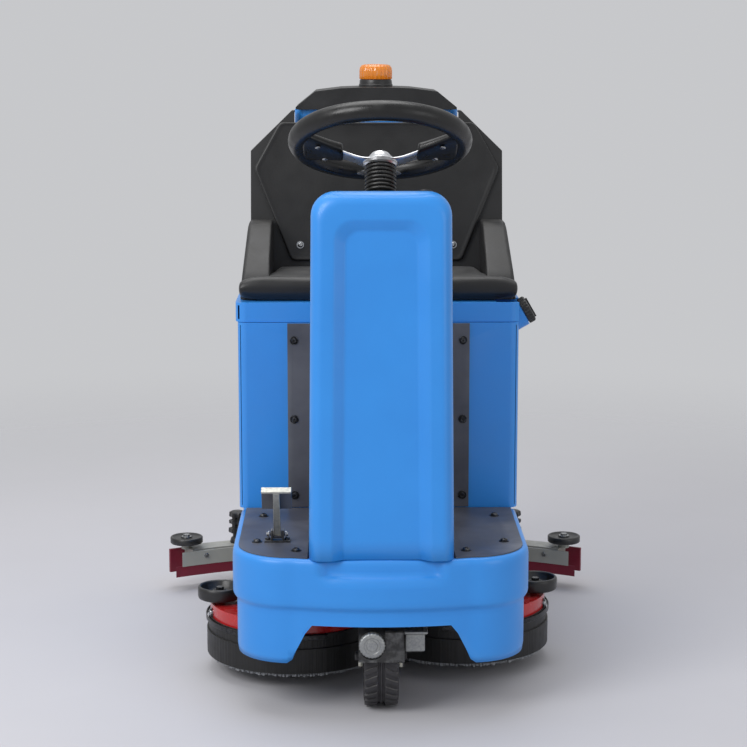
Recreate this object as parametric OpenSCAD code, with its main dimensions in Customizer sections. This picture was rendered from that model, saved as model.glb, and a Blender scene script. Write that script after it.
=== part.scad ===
// Compact ride-on floor scrubber: front drive wheel, twin disc brush deck, rear squeegee.
// The origin is on the floor under the middle of the machine. +Y points to the rear,
// +X to the left hand of a driver who looks ahead along -Y, and +Z is up.
// A "station" is a distance behind the foremost plane of the machine. Left and right in the
// names of pieces are as seen by someone who faces the machine's nose: left is -X.

/* [Overall] */
// Length from the nose to the back of the squeegee
overall_l = 1200; // [1180:5:1460]
// Width of the tanks and of the nose
body_w = 644; // [600:2:780]
// Height of the footplate
deck_z = 345; // [340:1:370]
// Height of the joint between the lower and the upper tank
split_z = 778; // [740:2:860]
// Height of the recovery tank's rim
rim_z = 1246; // [1200:2:1400]

/* [Nose cowl] */
// Wall of the moulded cowls
cowl_wall = 6; // [4:0.5:8]
// Radius of the nose corners seen from above
nose_r = 130; // [90:5:150]
// How far the middle of the nose stands ahead of its corners
nose_bow = 24; // [12:1:40]
// Height of the cowl's lower edge
cowl_bottom_z = 118; // [110:1:125]
// Height of the step under the cowl's upper band
band_z = 240; // [228:1:285]
// Inset of the cowl's lower part
band_step = 9; // [4:1:14]
// Half width of the wheel cut-out at its foot
cutout_foot = 192; // [170:2:200]
// Half width of the wheel cut-out at its top
cutout_top = 150; // [145:1:160]
// Height of the top of the wheel cut-out
cutout_z = 203; // [200:1:210]

/* [Tower] */
// Half width of the steering tower at its foot
tower_foot = 152; // [140:1:158]
// Half width of the steering tower at its top
tower_top = 145; // [140:1:150]
// Height of the tower's front edge
tower_z = 1108; // [1090:1:1125]
// Radius of the tower's two upper corners
tower_r = 50; // [30:1:60]
// How far the top of the tower's front face leans back
tower_lean = 46; // [30:1:60]
// Station of the tower's driver side
tower_back = 300; // [290:1:330]
// Wall of the tower
tower_wall = 5; // [4:0.5:7]

/* [Steering] */
// Outer diameter of the steering wheel
steering_d = 391; // [340:1:420]
// Diameter of the steering wheel's grip
grip_d = 33; // [26:1:36]
// Lean of the steering column towards the driver
column_tilt = 24; // [22:1:26]
// Station of the steering wheel's centre
steering_s = 260; // [255:1:270]
// Height of the steering wheel's centre
steering_z = 1200; // [1190:1:1215]
// Outer diameter of the ribbed boot
boot_d = 68; // [60:1:76]
// Radius of the steering shaft
column_r = 11; // [9:0.5:12]

/* [Drive wheel] */
// Diameter of the front tyre
drive_d = 212; // [200:2:220]
// Width of the front tyre
drive_w = 70; // [56:2:72]
// Station of the front wheel's axle
drive_s = 123; // [120:1:130]
// Radius of the steering spindle
spindle_r = 20; // [16:1:24]

/* [Rear wheels] */
// Diameter of the rear tyres
rear_d = 260; // [240:2:280]
// Width of the rear tyres
rear_w = 72; // [60:2:80]
// Distance of the rear axle ahead of the squeegee's back
rear_axle_ahead = 320; // [300:1:340]
// Radius of the rear stub axles
stub_r = 12; // [10:0.5:14]

/* [Brush deck] */
// Diameter of each brush
brush_d = 370; // [300:2:372]
// Distance between the brush centres across the machine
brush_gap = 380; // [376:1:420]
// Station of the forward brush
brush_s = 400; // [395:1:410]
// How far the other brush is set back
brush_stagger = 70; // [50:1:80]
// Height of the bristle tips when the deck is raised
bristle_z = 38; // [36:1:45]
// Diameter of the deck's bumper rollers
bumper_d = 100; // [80:2:110]

/* [Squeegee] */
// Width over the ends of the squeegee's rear blade
squeegee_w = 1080; // [900:10:1300]
// Radius of the squeegee's curve
squeegee_r = 1100; // [1000:10:1300]
// Width over the squeegee's metal bar
bar_w = 1000; // [840:10:1060]
// Height of the blade tips when the squeegee is raised
blade_z = 40; // [38:1:48]
// Diameter of the squeegee's end rollers
roller_d = 84; // [70:1:90]
// Outer radius of the suction spigots
spigot_r = 22; // [18:0.5:25]

/* [Tanks] */
// Station of the lower tank's front face
tank_s = 490; // [484:1:500]
// Wall of the moulded tanks
tank_wall = 6; // [4:0.5:8]
// Half width of the recovery tank behind the seat
recovery_hw = 200; // [180:2:206]
// Diameter of the filler neck
filler_d = 52; // [44:1:60]

/* [Seat] */
// Height of the seat cushion's top
seat_z = 872; // [866:1:900]
// Half width of the backrest at its widest
back_hw = 305; // [290:1:305]
// Width of each side bolster
bolster_w = 54; // [44:1:60]

/* [Lid and beacon] */
// Height of the lid's top
lid_z = 1300; // [1290:1:1480]
// Diameter of the beacon's lens
beacon_d = 80; // [60:1:90]
// Height of the beacon above the lid
beacon_h = 55; // [50:1:70]

/* [Fits] */
// Radial clearance of a shaft that turns in its bore
run_fit = 0.05; // [0.02:0.01:0.1]
// Gap between moving pieces that only pass each other
pass_gap = 1; // [0.5:0.5:2]

/* [Hidden] */
$fn = 64;

BLUE = "#3d86dc";
BLACK = "#222222";
SLATE = "#45464c";
STEEL = "#9a9c9e";
RED = "#b01818";

front_y = -overall_l / 2;
body_hw = body_w / 2;
// Nose and footwell
plate_t = 3;
plate_inset = 13;
frame_top = deck_z - 7;
frame_h = 30;
frame_bottom = frame_top - frame_h;
rail_x = 90;
rail_w = 40;
// Tank stations follow the two ends of the machine
tank_back = overall_l - 120;
seat_front = tank_s + 15;
recovery_back = overall_l - 75;
recovery_front = recovery_back - 213;
ledge_z = split_z + 45;
tilt_pin_s = tank_back + 18;
tilt_pin_z = split_z + 12;
lid_pin_s = recovery_back + 10;
lid_pin_z = rim_z + 8;
// Steering
steering_r = steering_d / 2;
grip_r = grip_d / 2;
column_drop = (steering_s - drive_s) / sin(column_tilt);
ball_z = steering_z - column_drop * cos(column_tilt);
ball_r = 18;
dash_s = 80;
dash_t = 4;
dash_reach = ((steering_z - tower_z) + (steering_s - dash_s) * tan(column_tilt))
    * cos(column_tilt);
dash_hole_y = (steering_s - dash_s - dash_reach * sin(column_tilt)) / cos(column_tilt);
boot_top = 58;
hub_top = 26;
spoke_root = 20;
spoke_w = 38;
spoke_hub_r = 32;
spoke_bite = 5;
spoke_dish = 45;
// Dashboard: places of the round holes as across, down the slope, radius
dash_holes = [[-92, 112, 9], [92, 124, 11], [-92, 60, 10], [92, 60, 7]];
rocker_y = 165;
rocker_hw = 9.5;
// Pedal
pedal_x = -222;
pedal_s = 170;
pedal_pin_z = deck_z + plate_t + 16;
pedal_lean = 27;
// Round cover on the drive unit
brake_x = -20;
brake_z = 160;
// Drive wheel
drive_r = drive_d / 2;
fork_gap = drive_w / 2 + 5;
fork_t = 8;
fork_side = fork_gap + fork_t;
rim_r = 78;
drive_axle_r = 10;
fork_top = drive_d + 12;
guard_r = drive_r + 8;
// Rear wheels
rear_s = overall_l - rear_axle_ahead;
rear_r = rear_d / 2;
rear_x = 236;
rear_rim_r = 88;
arch_r = rear_r + 20;
// Brush deck
brush_r = brush_d / 2;
brush_x = brush_gap / 2;
brush_back_s = brush_s + brush_stagger;
shell_r = brush_r + 10;
skirt_r = shell_r + 8;
deck_top = bristle_z + 120;
arm_pivot_s = 720;
arm_pivot_z = 235;
link_rise = 50;
arm_reach = 220;
arm_fall = 35;
lever_r = 30;
bumper_x = brush_x + 171;
bumper_z = deck_top + 7;
// Squeegee
arc_s = overall_l - squeegee_r;
bar_z = blade_z + 32;
bar_h = 36;
swing_s = 790;
swing_pin_r = 10;
lift_s = 830;
lift_z = 205;
roller_x = bar_w / 2 - 8;
knob_x = 363;
bar_mid_r = squeegee_r - 35;
// Seat
back_foot_s = recovery_front - 112;
back_top_s = recovery_front - 48;
beacon_s = recovery_front + 88;
shell_top_z = rim_z - 1;
cushion_hw = back_hw - bolster_w - 3;
cushion_w = body_hw - 4;
// Filler neck
filler_s = tank_s + 55;
filler_z = split_z + 20;
filler_x = body_hw + 16;
filler_rise = 30;
filler_r = filler_d / 2;

// ---- shared shapes ----

function arc_points(c, r, from, to, n) =
    [for (i = [0:n]) let(a = from + (to - from) * i / n) [c[0] + r * cos(a), c[1] + r * sin(a)]];

// Plan of the nose: straight sides, round corners and a bowed front.
module nose_plan(inset, back) {
    hw = body_hw - 4 - inset;
    r = nose_r - inset;
    bow_x = hw - r;
    bow_r = (bow_x * bow_x + nose_bow * nose_bow) / (2 * nose_bow);
    bow_a = asin(bow_x / bow_r);
    points = concat(
        [[-hw, back]],
        arc_points([-bow_x, nose_bow + inset + r], r, 180, 270, 10),
        arc_points([0, bow_r + inset], bow_r, 270 - bow_a, 270 + bow_a, 12),
        arc_points([bow_x, nose_bow + inset + r], r, 270, 360, 10),
        [[hw, back]]
    );
    polygon(points);
}

// A flat plan with round corners, lying in X and Y.
module round_plan(x0, x1, y0, y1, r) {
    polygon(concat(
        arc_points([x0 + r, y0 + r], r, 180, 270, 5),
        arc_points([x1 - r, y0 + r], r, 270, 360, 5),
        arc_points([x1 - r, y1 - r], r, 0, 90, 5),
        arc_points([x0 + r, y1 - r], r, 90, 180, 5)
    ));
}

// Moves children from stations to the machine's own frame.
module placed() {
    translate([0, front_y, 0]) children();
}

module box(x0, x1, y0, y1, z0, z1) {
    translate([x0, y0, z0]) cube([x1 - x0, y1 - y0, z1 - z0]);
}

// A shape drawn in station and height, drawn out across the machine.
module across(x0, x1) {
    translate([x0, 0, 0]) rotate([90, 0, 90]) linear_extrude(x1 - x0) children();
}

// A shape drawn in X and height, drawn out along the machine.
module along(s0, s1) {
    translate([0, s1, 0]) rotate([90, 0, 0]) linear_extrude(s1 - s0) children();
}

// A round bar across the machine.
module cross_bar(x0, x1, s, z, r) {
    translate([x0, s, z]) rotate([0, 90, 0]) cylinder(r = r, h = x1 - x0);
}

module post(x, s, z0, z1, r) {
    translate([x, s, z0]) cylinder(r = r, h = z1 - z0);
}

module both_sides() {
    children();
    mirror([1, 0, 0]) children();
}

// The steering column's frame: its Z runs up the column.
module on_column() {
    translate([0, steering_s, steering_z]) rotate([-column_tilt, 0, 0]) children();
}

// The dashboard's frame: its Y runs down the slope towards the driver.
module on_dash(x, y) {
    translate([0, dash_s, tower_z]) rotate([-column_tilt, 0, 0]) translate([x, y, 0]) children();
}

// The filler neck's frame: its Z points out of the neck.
module on_filler() {
    translate([filler_x, filler_s, filler_z]) rotate([0, 90 - filler_rise, 0]) children();
}

// ---- frame and nose ----

module main_frame() {
    color(BLACK) placed() difference() {
        union() {
            both_sides()
                box(rail_x - rail_w / 2, rail_x + rail_w / 2, 62, tank_back - 20, frame_bottom, frame_top);
            both_sides() box(body_hw - 52, body_hw - 22, 190, tank_s - 4, frame_bottom, frame_top);
            box(-rail_x - rail_w / 2, rail_x + rail_w / 2, 62, 190, frame_bottom, frame_top);
            box(22 - body_hw, body_hw - 22, tank_s - 44, tank_s - 4, frame_bottom, frame_top);
            box(-rail_x, rail_x, arm_pivot_s - 20, arm_pivot_s + 25, frame_bottom, frame_top);
            box(-rail_x, rail_x, swing_s - 20, swing_s + 20, frame_bottom, frame_top);
            box(-205, 205, rear_s - 22, rear_s + 22, frame_bottom, frame_top);
            box(-205, 205, tank_back - 60, tank_back - 20, frame_bottom, frame_top);
            both_sides() box(190, 205, rear_s - 32, rear_s + 32, rear_r - 22, frame_bottom);
            both_sides() box(56, 64, arm_pivot_s - 20, arm_pivot_s + 25, arm_pivot_z - 20, frame_bottom);
            post(0, drive_s, 262, frame_top, 34);
            post(0, swing_s, 192, frame_bottom, swing_pin_r);
            post(0, swing_s, 184, 192, 16);
            box(-20, 20, 226, 262, frame_bottom, 985);
            both_sides() box(0, 110, 200, 262, frame_bottom, frame_top);
            on_column() translate([0, 0, -252]) cylinder(r = 22, h = 34);
            box(-12, 12, 180, 240, 950, 985);
        }
        post(0, drive_s, 250, frame_top + 5, spindle_r + run_fit);
        on_column() translate([0, 0, -290]) cylinder(r = column_r + run_fit, h = 120);
        cross_bar(-220, 220, rear_s, rear_r, stub_r);
        cross_bar(-70, 70, arm_pivot_s, arm_pivot_z, 8 + run_fit);
        cross_bar(-70, 70, arm_pivot_s, arm_pivot_z + link_rise, 6 + run_fit);
    }
}

module cutout_shape() {
    corner = 14;
    polygon(concat(
        [[-cutout_foot, cowl_bottom_z - 10], [-cutout_top - 4, cutout_z - 12]],
        arc_points([-cutout_top + corner, cutout_z - corner], corner, 150, 90, 4),
        arc_points([cutout_top - corner, cutout_z - corner], corner, 90, 30, 4),
        [[cutout_top + 4, cutout_z - 12], [cutout_foot, cowl_bottom_z - 10]]
    ));
}

module base_cowl() {
    nose_back = 165;
    color(BLUE) placed() difference() {
        union() {
            translate([0, 0, band_z]) linear_extrude(deck_z - band_z) nose_plan(0, tank_s - 12);
            translate([0, 0, cowl_bottom_z]) linear_extrude(band_z - cowl_bottom_z + 1)
                nose_plan(band_step, nose_back);
        }
        translate([0, 0, band_z - 1]) linear_extrude(deck_z - band_z - cowl_wall + 1)
            nose_plan(cowl_wall + band_step, tank_s);
        translate([0, 0, cowl_bottom_z - 5]) linear_extrude(band_z - cowl_bottom_z + 6)
            nose_plan(cowl_wall + band_step, nose_back + 20);
        along(-20, 110) cutout_shape();
        box(-118, 118, 60, 266, deck_z - 20, deck_z + 5);
        plate_bolt_places() translate([0, 0, -20]) cylinder(r = 4.2, h = 30, $fn = 24);
    }
}

module plate_bolt_places() {
    for (side = [-1, 1]) {
        translate([side * 262, 400, deck_z]) children();
        translate([side * 266, 165, deck_z]) children();
        translate([side * 180, 88, deck_z]) children();
    }
}

module footplates() {
    color(SLATE) placed() difference() {
        translate([0, 0, deck_z]) linear_extrude(plate_t) nose_plan(plate_inset, tank_s - 8);
        box(-tower_foot - 3, tower_foot + 3, -10, tank_s + 10, deck_z - 5, deck_z + 10);
        plate_bolt_places() translate([0, 0, -5]) cylinder(r = 4.2, h = 30, $fn = 24);
        translate([pedal_x, pedal_s, deck_z - 5]) pedal_bolts() cylinder(r = 3.2, h = 20, $fn = 24);
    }
}

module button_bolt(shank) {
    cylinder(r = 10, h = 1.5, $fn = 32);
    translate([0, 0, 1.5]) difference() {
        cylinder(r1 = 8, r2 = 5, h = 4.5, $fn = 32);
        translate([0, 0, 2]) cylinder(r = 2.6, h = 5, $fn = 6);
    }
    translate([0, 0, -shank]) cylinder(r = 4, h = shank, $fn = 24);
}

module plate_bolt_grid() {
    for (side = [-1, 1]) {
        for (z = [deck_z + 32, (deck_z + split_z) / 2 - 6, split_z - 40]) {
            translate([side * 193, tank_s - 6, z]) rotate([90, 0, 0]) children();
        }
    }
}

module cover_bolts() {
    color("#5a5a5c") placed() {
        plate_bolt_places() translate([0, 0, plate_t]) button_bolt(plate_t + 5);
        plate_bolt_grid() button_bolt(6);
    }
}

module tank_front_plate() {
    color(SLATE) placed() difference() {
        box(-208, 208, tank_s - 6, tank_s - 2, deck_z + plate_t + 1, split_z - 1);
        plate_bolt_grid() translate([0, 0, -10]) cylinder(r = 4.2, h = 30, $fn = 24);
    }
}

// ---- tower and dashboard ----

module tower_side(inset, foot) {
    lean = tower_lean / (tower_z - deck_z);
    edge_z = tower_z - inset;
    back_z = tower_z - (tower_back - dash_s) * tan(column_tilt);
    corner = 26;
    polygon(concat(
        [[6 + inset, foot]],
        [[6 + inset + lean * (tower_z - deck_z - corner), edge_z - corner]],
        [[6 + inset + tower_lean + 8, edge_z - 8]],
        [[dash_s, edge_z]],
        [
            [tower_back - inset, back_z - inset],
            [tower_back - inset, back_z - 30],
            [tower_back - 22 - inset, foot]
        ]
    ));
}

module tower_face(inset, foot) {
    top_hw = tower_top - inset;
    polygon(concat(
        [[-tower_foot + inset, foot]],
        arc_points([-top_hw + tower_r, tower_z - inset - tower_r], tower_r, 180, 90, 8),
        arc_points([top_hw - tower_r, tower_z - inset - tower_r], tower_r, 90, 0, 8),
        [[tower_foot - inset, foot]]
    ));
}

module front_tower() {
    color(BLUE) placed() difference() {
        intersection() {
            across(-tower_foot - 5, tower_foot + 5) tower_side(0, deck_z + 0.5);
            along(-10, tower_back + 10) tower_face(0, deck_z + 0.5);
        }
        intersection() {
            across(-tower_foot - 5, tower_foot + 5) tower_side(tower_wall, deck_z - 5);
            along(-10, tower_back + 10) tower_face(tower_wall, deck_z - 5);
        }
        on_dash(0, 0) translate([-106, 36, -20]) cube([212, 180, 40]);
    }
}

module control_panel() {
    color(BLACK) placed() on_dash(0, 0) difference() {
        translate([0, 0, 0.2]) linear_extrude(dash_t) round_plan(-122, 122, 20, 226, 30);
        translate([0, dash_hole_y, -5]) cylinder(r = boot_d / 2 - 8, h = 20);
        for (hole = dash_holes) {
            translate([hole[0], hole[1], -5]) cylinder(r = hole[2], h = 20, $fn = 32);
        }
        translate([-102, rocker_y - 15, -5]) cube([20, 30, 20]);
    }
}

module column_boot() {
    low = dash_reach - dash_t - 0.2;
    ribs = 9;
    pitch = (low - boot_top) / ribs;
    color(BLACK) placed() on_column() rotate_extrude() {
        polygon(concat(
            [[column_r + 3, -low], [boot_d / 2, -low]],
            [for (i = [0:ribs - 1])
                for (p = [[boot_d / 2, 0.25], [boot_d / 2, 0.55], [boot_d / 2 - 6, 0.8]])
                    [p[0], -low + pitch * (i + p[1])]],
            [[boot_d / 2 - 6, -boot_top], [column_r + 3, -boot_top]]
        ));
    }
}

module steering_rim() {
    color(BLACK) placed() on_column() rotate_extrude($fn = 96)
        translate([steering_r - grip_r, 0]) circle(r = grip_r, $fn = 32);
}

module steering_spokes() {
    reach = steering_r - grip_d - spoke_root + spoke_bite;
    slope = atan(spoke_dish / reach);
    color(STEEL) placed() on_column() {
        for (a = [90, 176, 4]) {
            rotate([0, 0, a]) translate([spoke_root, -spoke_w / 2, -spoke_dish - 6]) rotate([0, -slope, 0])
                cube([reach / cos(slope), spoke_w, 5]);
        }
        translate([0, 0, -boot_top + 3]) difference() {
            cylinder(r = spoke_hub_r, h = boot_top - hub_top - 3);
            translate([0, 0, -1]) cylinder(r = column_r, h = boot_top - hub_top - 6);
        }
    }
}

module steering_shaft() {
    color(STEEL) placed() on_column() {
        difference() {
            translate([0, 0, -column_drop - 5]) cylinder(r = 27, h = 34);
            translate([0, 0, -column_drop]) sphere(r = ball_r + run_fit);
            translate([0, 0, -column_drop - 10]) cylinder(r = ball_r - 1, h = 6);
        }
        translate([0, 0, -column_drop + 28.5]) cylinder(r = column_r, h = column_drop - hub_top - 33);
    }
}

module motor_controller() {
    color("#3a3a3a") placed() {
        box(-75, 75, 176, 225.5, 460, 640);
        for (i = [0:5]) {
            box(-68 + 26 * i, -60 + 26 * i, 164, 176, 468, 632);
        }
    }
}

// ---- controls ----

module ignition_key() {
    color(STEEL) placed() on_dash(dash_holes[0][0], dash_holes[0][1]) {
        translate([0, 0, -14]) cylinder(r = 8.9, h = 20, $fn = 32);
        translate([0, 0, 4.5]) cylinder(r = 12, h = 3, $fn = 32);
        translate([-1.2, -9, 7]) cube([2.4, 18, 24]);
    }
}

module emergency_stop() {
    color(RED) placed() on_dash(dash_holes[1][0], dash_holes[1][1]) {
        translate([0, 0, -24]) cylinder(r = 10.9, h = 36, $fn = 32);
        translate([0, 0, 12]) cylinder(r1 = 17, r2 = 20, h = 6, $fn = 48);
        translate([0, 0, 18]) cylinder(r1 = 20, r2 = 14, h = 6, $fn = 48);
    }
}

module horn_button() {
    color(BLACK) placed() on_dash(dash_holes[2][0], dash_holes[2][1]) {
        translate([0, 0, -12]) cylinder(r = 9.9, h = 21, $fn = 32);
    }
}

module speed_knob() {
    color(BLACK) placed() on_dash(dash_holes[3][0], dash_holes[3][1]) {
        translate([0, 0, -12]) cylinder(r = 6.9, h = 18, $fn = 32);
        translate([0, 0, 5]) cylinder(r1 = 17, r2 = 15, h = 16, $fn = 48);
        translate([-2, 4, 21]) cube([4, 10, 1.5]);
    }
}

module direction_switch() {
    color(BLACK) placed() on_dash(-92, rocker_y) {
        translate([-rocker_hw, 0, 1]) rotate([90, 0, 90]) linear_extrude(2 * rocker_hw)
            polygon([[-10, -8], [10, -8], [13.5, 1], [13, 4.5], [0, 2.6], [-13, 4.5], [-13.5, 1]]);
        translate([-rocker_hw - 0.4, 0, 1]) rotate([0, 90, 0])
            cylinder(r = 2.5, h = 2 * rocker_hw + 0.8, $fn = 24);
    }
}

// The pedal's foot: two ears and their pin, bolted to the footplate.
module pedal_bolts() {
    for (x = [-21, 21]) {
        translate([x, 0, 0]) children();
    }
}

module pedal_bracket() {
    color(BLACK) placed() translate([pedal_x, pedal_s, 0]) {
        difference() {
            union() {
                box(-28, 28, -13, 13, deck_z + plate_t, deck_z + plate_t + 4);
                both_sides() box(10.5, 14, -12, 12, deck_z + plate_t + 3, pedal_pin_z + 10);
            }
            pedal_bolts() translate([0, 0, deck_z - 5]) cylinder(r = 3.2, h = 30, $fn = 24);
        }
        cross_bar(-16, 16, 0, pedal_pin_z, 4);
        pedal_bolts() translate([0, 0, deck_z + plate_t - 2]) cylinder(r = 3, h = 6, $fn = 24);
        pedal_bolts() translate([0, 0, deck_z + plate_t + 4]) cylinder(r = 5.5, h = 4, $fn = 24);
    }
}

module accelerator_pedal() {
    stem = 120;
    color(SLATE) placed() translate([pedal_x, pedal_s, pedal_pin_z]) rotate([pedal_lean, 0, 0]) {
        difference() {
            union() {
                cross_bar(-10, 10, 0, 0, 9);
                box(-3, 3, -9, 3, 6, stem);
            }
            cross_bar(-12, 12, 0, 0, 4 + run_fit);
        }
        translate([0, 3, 0]) {
            box(-32, 32, 0, 4, stem - 52, stem);
            box(-32, 32, -8, 4, stem, stem + 4);
        }
    }
}

// ---- drive unit ----

module drive_fork() {
    color(SLATE) placed() {
        difference() {
            union() {
                box(-fork_side, fork_side, drive_s - 55, drive_s + 55, fork_top, fork_top + 8);
                both_sides()
                    box(fork_gap, fork_side, drive_s - 25, drive_s + 25, drive_r - 18, fork_top + 1);
                post(0, drive_s, fork_top + 7, 261, 30);
            }
            cross_bar(-fork_gap - 20, fork_gap + 20, drive_s, drive_r, drive_axle_r);
        }
        post(0, drive_s, 260, deck_z + 6, spindle_r);
        post(0, drive_s, deck_z + 5, ball_z - 8, 10);
        translate([0, drive_s, ball_z]) sphere(r = ball_r);
    }
}

module drive_motor() {
    color(STEEL) placed() {
        cross_bar(-fork_gap - 16, fork_gap + 16, drive_s, drive_r, drive_axle_r);
        cross_bar(-23, 23, drive_s, drive_r, 54);
    }
}

module drive_rim() {
    color(STEEL) placed() difference() {
        union() {
            cross_bar(-drive_w / 2 + 4, drive_w / 2 - 4, drive_s, drive_r, rim_r);
        }
        cross_bar(-25, 25, drive_s, drive_r, 58);
        cross_bar(-60, 60, drive_s, drive_r, drive_axle_r + run_fit);
    }
}

module drive_tyre() {
    half = drive_w / 2;
    color(BLACK) placed() translate([0, drive_s, drive_r]) rotate([0, 90, 0]) rotate_extrude($fn = 96)
        polygon([
            [rim_r, -half + 4], [rim_r + 12, -half], [drive_r - 5, -half + 1], [drive_r, -half + 8],
            [drive_r, half - 8], [drive_r - 5, half - 1], [rim_r + 12, half], [rim_r, half - 4]
        ]);
}

module drive_housing() {
    color("#3b3b3e") placed() {
        difference() {
            union() {
                cross_bar(-fork_gap - 8, fork_gap + 8, drive_s, drive_r, guard_r + 6);
                translate([brake_x, 14, brake_z]) rotate([-90, 0, 0]) cylinder(r = 24, h = 40);
                box(8, 46, 12, 50, 142, 190);
            }
            cross_bar(-fork_gap - 20, fork_gap + 20, drive_s, drive_r, guard_r);
            translate([brake_x, -20, brake_z]) rotate([-90, 0, 0]) cylinder(r = 27, h = 34);
            box(-80, 80, drive_s - 55, 400, -50, 400);
            box(-80, 80, -10, 400, -50, 128);
            box(-80, 80, -10, 400, fork_top - 0.2, 400);
        }
        difference() {
            box(fork_gap + 12, fork_gap + 46, 70, 118, 130, 172);
            box(fork_gap + 20, fork_gap + 38, 60, 100, 140, 162);
        }
        box(fork_gap + 8, fork_gap + 50, 68, 120, 172, 178);
        box(fork_gap + 8, fork_gap + 12, 84, 110, 118, 172);
        translate([fork_gap + 5, 80, 96]) cylinder(r = 4, h = 42, $fn = 24);
        box(fork_gap, fork_gap + 10, 76, 84, 136, 150);
    }
}

module brake_cover() {
    color("#b8bab8") placed() translate([brake_x, 3, brake_z]) rotate([-90, 0, 0]) difference() {
        cylinder(r = 26.5, h = 11);
        for (a = [0:45:315]) {
            rotate([0, 0, a]) translate([17, 0, -1]) cylinder(r = 3, h = 4, $fn = 16);
        }
    }
}

// ---- rear wheels ----

module rear_axle() {
    color(STEEL) placed() both_sides() {
        cross_bar(186, rear_x + rear_w + 6, rear_s, rear_r, stub_r);
        cross_bar(206, rear_x + 4, rear_s, rear_r, stub_r + 8);
    }
}

module rear_rim() {
    placed() difference() {
        union() {
            cross_bar(rear_x + 6, rear_x + rear_w - 6, rear_s, rear_r, rear_rim_r);
        }
        cross_bar(rear_x + 40, rear_x + rear_w, rear_s, rear_r, rear_rim_r - 10);
        cross_bar(rear_x, rear_x + 24, rear_s, rear_r, rear_rim_r - 10);
        cross_bar(rear_x, rear_x + rear_w + 10, rear_s, rear_r, stub_r + run_fit);
    }
    placed() difference() {
        cross_bar(rear_x + 5, rear_x + rear_w - 4, rear_s, rear_r, 30);
        cross_bar(rear_x, rear_x + rear_w + 10, rear_s, rear_r, stub_r + run_fit);
    }
}

module rear_tyre() {
    half = rear_w / 2;
    placed() translate([rear_x + half, rear_s, rear_r]) rotate([0, 90, 0]) rotate_extrude($fn = 96)
        polygon([
            [rear_rim_r, -half + 6], [rear_rim_r + 14, -half],
            [rear_r - 7, -half + 1], [rear_r, -half + 10],
            [rear_r, half - 10], [rear_r - 7, half - 1], [rear_rim_r + 14, half], [rear_rim_r, half - 6]
        ]);
}

module rear_rim_left() {
    color(STEEL) mirror([1, 0, 0]) rear_rim();
}

module rear_rim_right() {
    color(STEEL) rear_rim();
}

module rear_tyre_left() {
    color(BLACK) mirror([1, 0, 0]) rear_tyre();
}

module rear_tyre_right() {
    color(BLACK) rear_tyre();
}

// ---- brush deck ----

module deck_lower_arms() {
    front_s = arm_pivot_s - arm_reach;
    front_z = arm_pivot_z - arm_fall;
    color(SLATE) placed() {
        both_sides() across(44, 50) polygon([
            [front_s - 12, front_z - 10], [front_s - 12, front_z + 12],
            [arm_pivot_s + 12, arm_pivot_z + 12],
            [arm_pivot_s + 12, arm_pivot_z - 12]
        ]);
        cross_bar(-66, 66, arm_pivot_s, arm_pivot_z, 8);
        cross_bar(-66, 66, front_s, front_z, 8);
        across(20, 26) polygon([
            [arm_pivot_s - 9, arm_pivot_z], [arm_pivot_s + 9, arm_pivot_z],
            [arm_pivot_s + 7, arm_pivot_z + lever_r + 6], [arm_pivot_s - 7, arm_pivot_z + lever_r + 6]
        ]);
        cross_bar(26, 36, arm_pivot_s, arm_pivot_z + lever_r, 3);
    }
}

module deck_upper_link() {
    z0 = arm_pivot_z + link_rise;
    front_s = arm_pivot_s - arm_reach;
    color(SLATE) placed() {
        across(-16, 4) polygon([
            [front_s - 8, z0 - arm_fall - 7], [front_s - 8, z0 - arm_fall + 7],
            [arm_pivot_s + 8, z0 + 7], [arm_pivot_s + 8, z0 - 7]
        ]);
        cross_bar(-66, 66, arm_pivot_s, z0, 6);
        cross_bar(-66, 66, front_s, z0 - arm_fall, 6);
    }
}

module deck_actuator() {
    z = arm_pivot_z + lever_r;
    color("#8d8f92") placed() {
        difference() {
            translate([46, 845, z]) rotate([-90, 0, 0]) cylinder(r = 20, h = 150);
            translate([46, 840, z]) rotate([-90, 0, 0]) cylinder(r = 7 + run_fit, h = 110);
        }
        box(30, 62, 900, rear_s + 80, z + 14, frame_bottom);
        box(66, 110, 930, 1000, z - 22, z + 22);
    }
}

module deck_actuator_rod() {
    z = arm_pivot_z + lever_r;
    color(STEEL) placed() {
        translate([46, arm_pivot_s + 18, z]) rotate([-90, 0, 0]) cylinder(r = 7, h = 170);
        difference() {
            box(30, 52, arm_pivot_s - 10, arm_pivot_s + 20, z - 8, z + 8);
            box(36.5, 60, arm_pivot_s - 12, arm_pivot_s + 10, z - 10, z + 10);
            cross_bar(20, 40, arm_pivot_s, z, 5);
        }
    }
}

// Plan of both brush bays at a radius.
module bay_pair(r, z0, z1) {
    post(-brush_x, brush_s, z0, z1, r);
    post(brush_x, brush_back_s, z0, z1, r);
}

module deck_housing() {
    front_s = arm_pivot_s - arm_reach;
    low_z = arm_pivot_z - arm_fall;
    color(RED) placed() difference() {
        union() {
            bay_pair(shell_r, deck_top - 38, deck_top);
            box(-120, 120, brush_s - 70, brush_back_s + 80, deck_top - 5, deck_top);
            both_sides() box(56, 64, front_s - 22, front_s + 22, deck_top - 1, low_z + link_rise + 14);
            post(-bumper_x, brush_s - 30, deck_top - 1, bumper_z - 0.5, 11);
            post(bumper_x, brush_back_s - 30, deck_top - 1, bumper_z - 0.5, 11);
            post(-bumper_x, brush_s - 30, bumper_z - 1, bumper_z + 14, 6);
            post(bumper_x, brush_back_s - 30, bumper_z - 1, bumper_z + 14, 6);
        }
        bay_pair(shell_r - 4, deck_top - 50, deck_top - 4);
        bay_pair(16, deck_top - 60, deck_top + 10);
        cross_bar(-70, 70, front_s, low_z, 8 + run_fit);
        cross_bar(-70, 70, front_s, low_z + link_rise, 6.5);
    }
}

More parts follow.
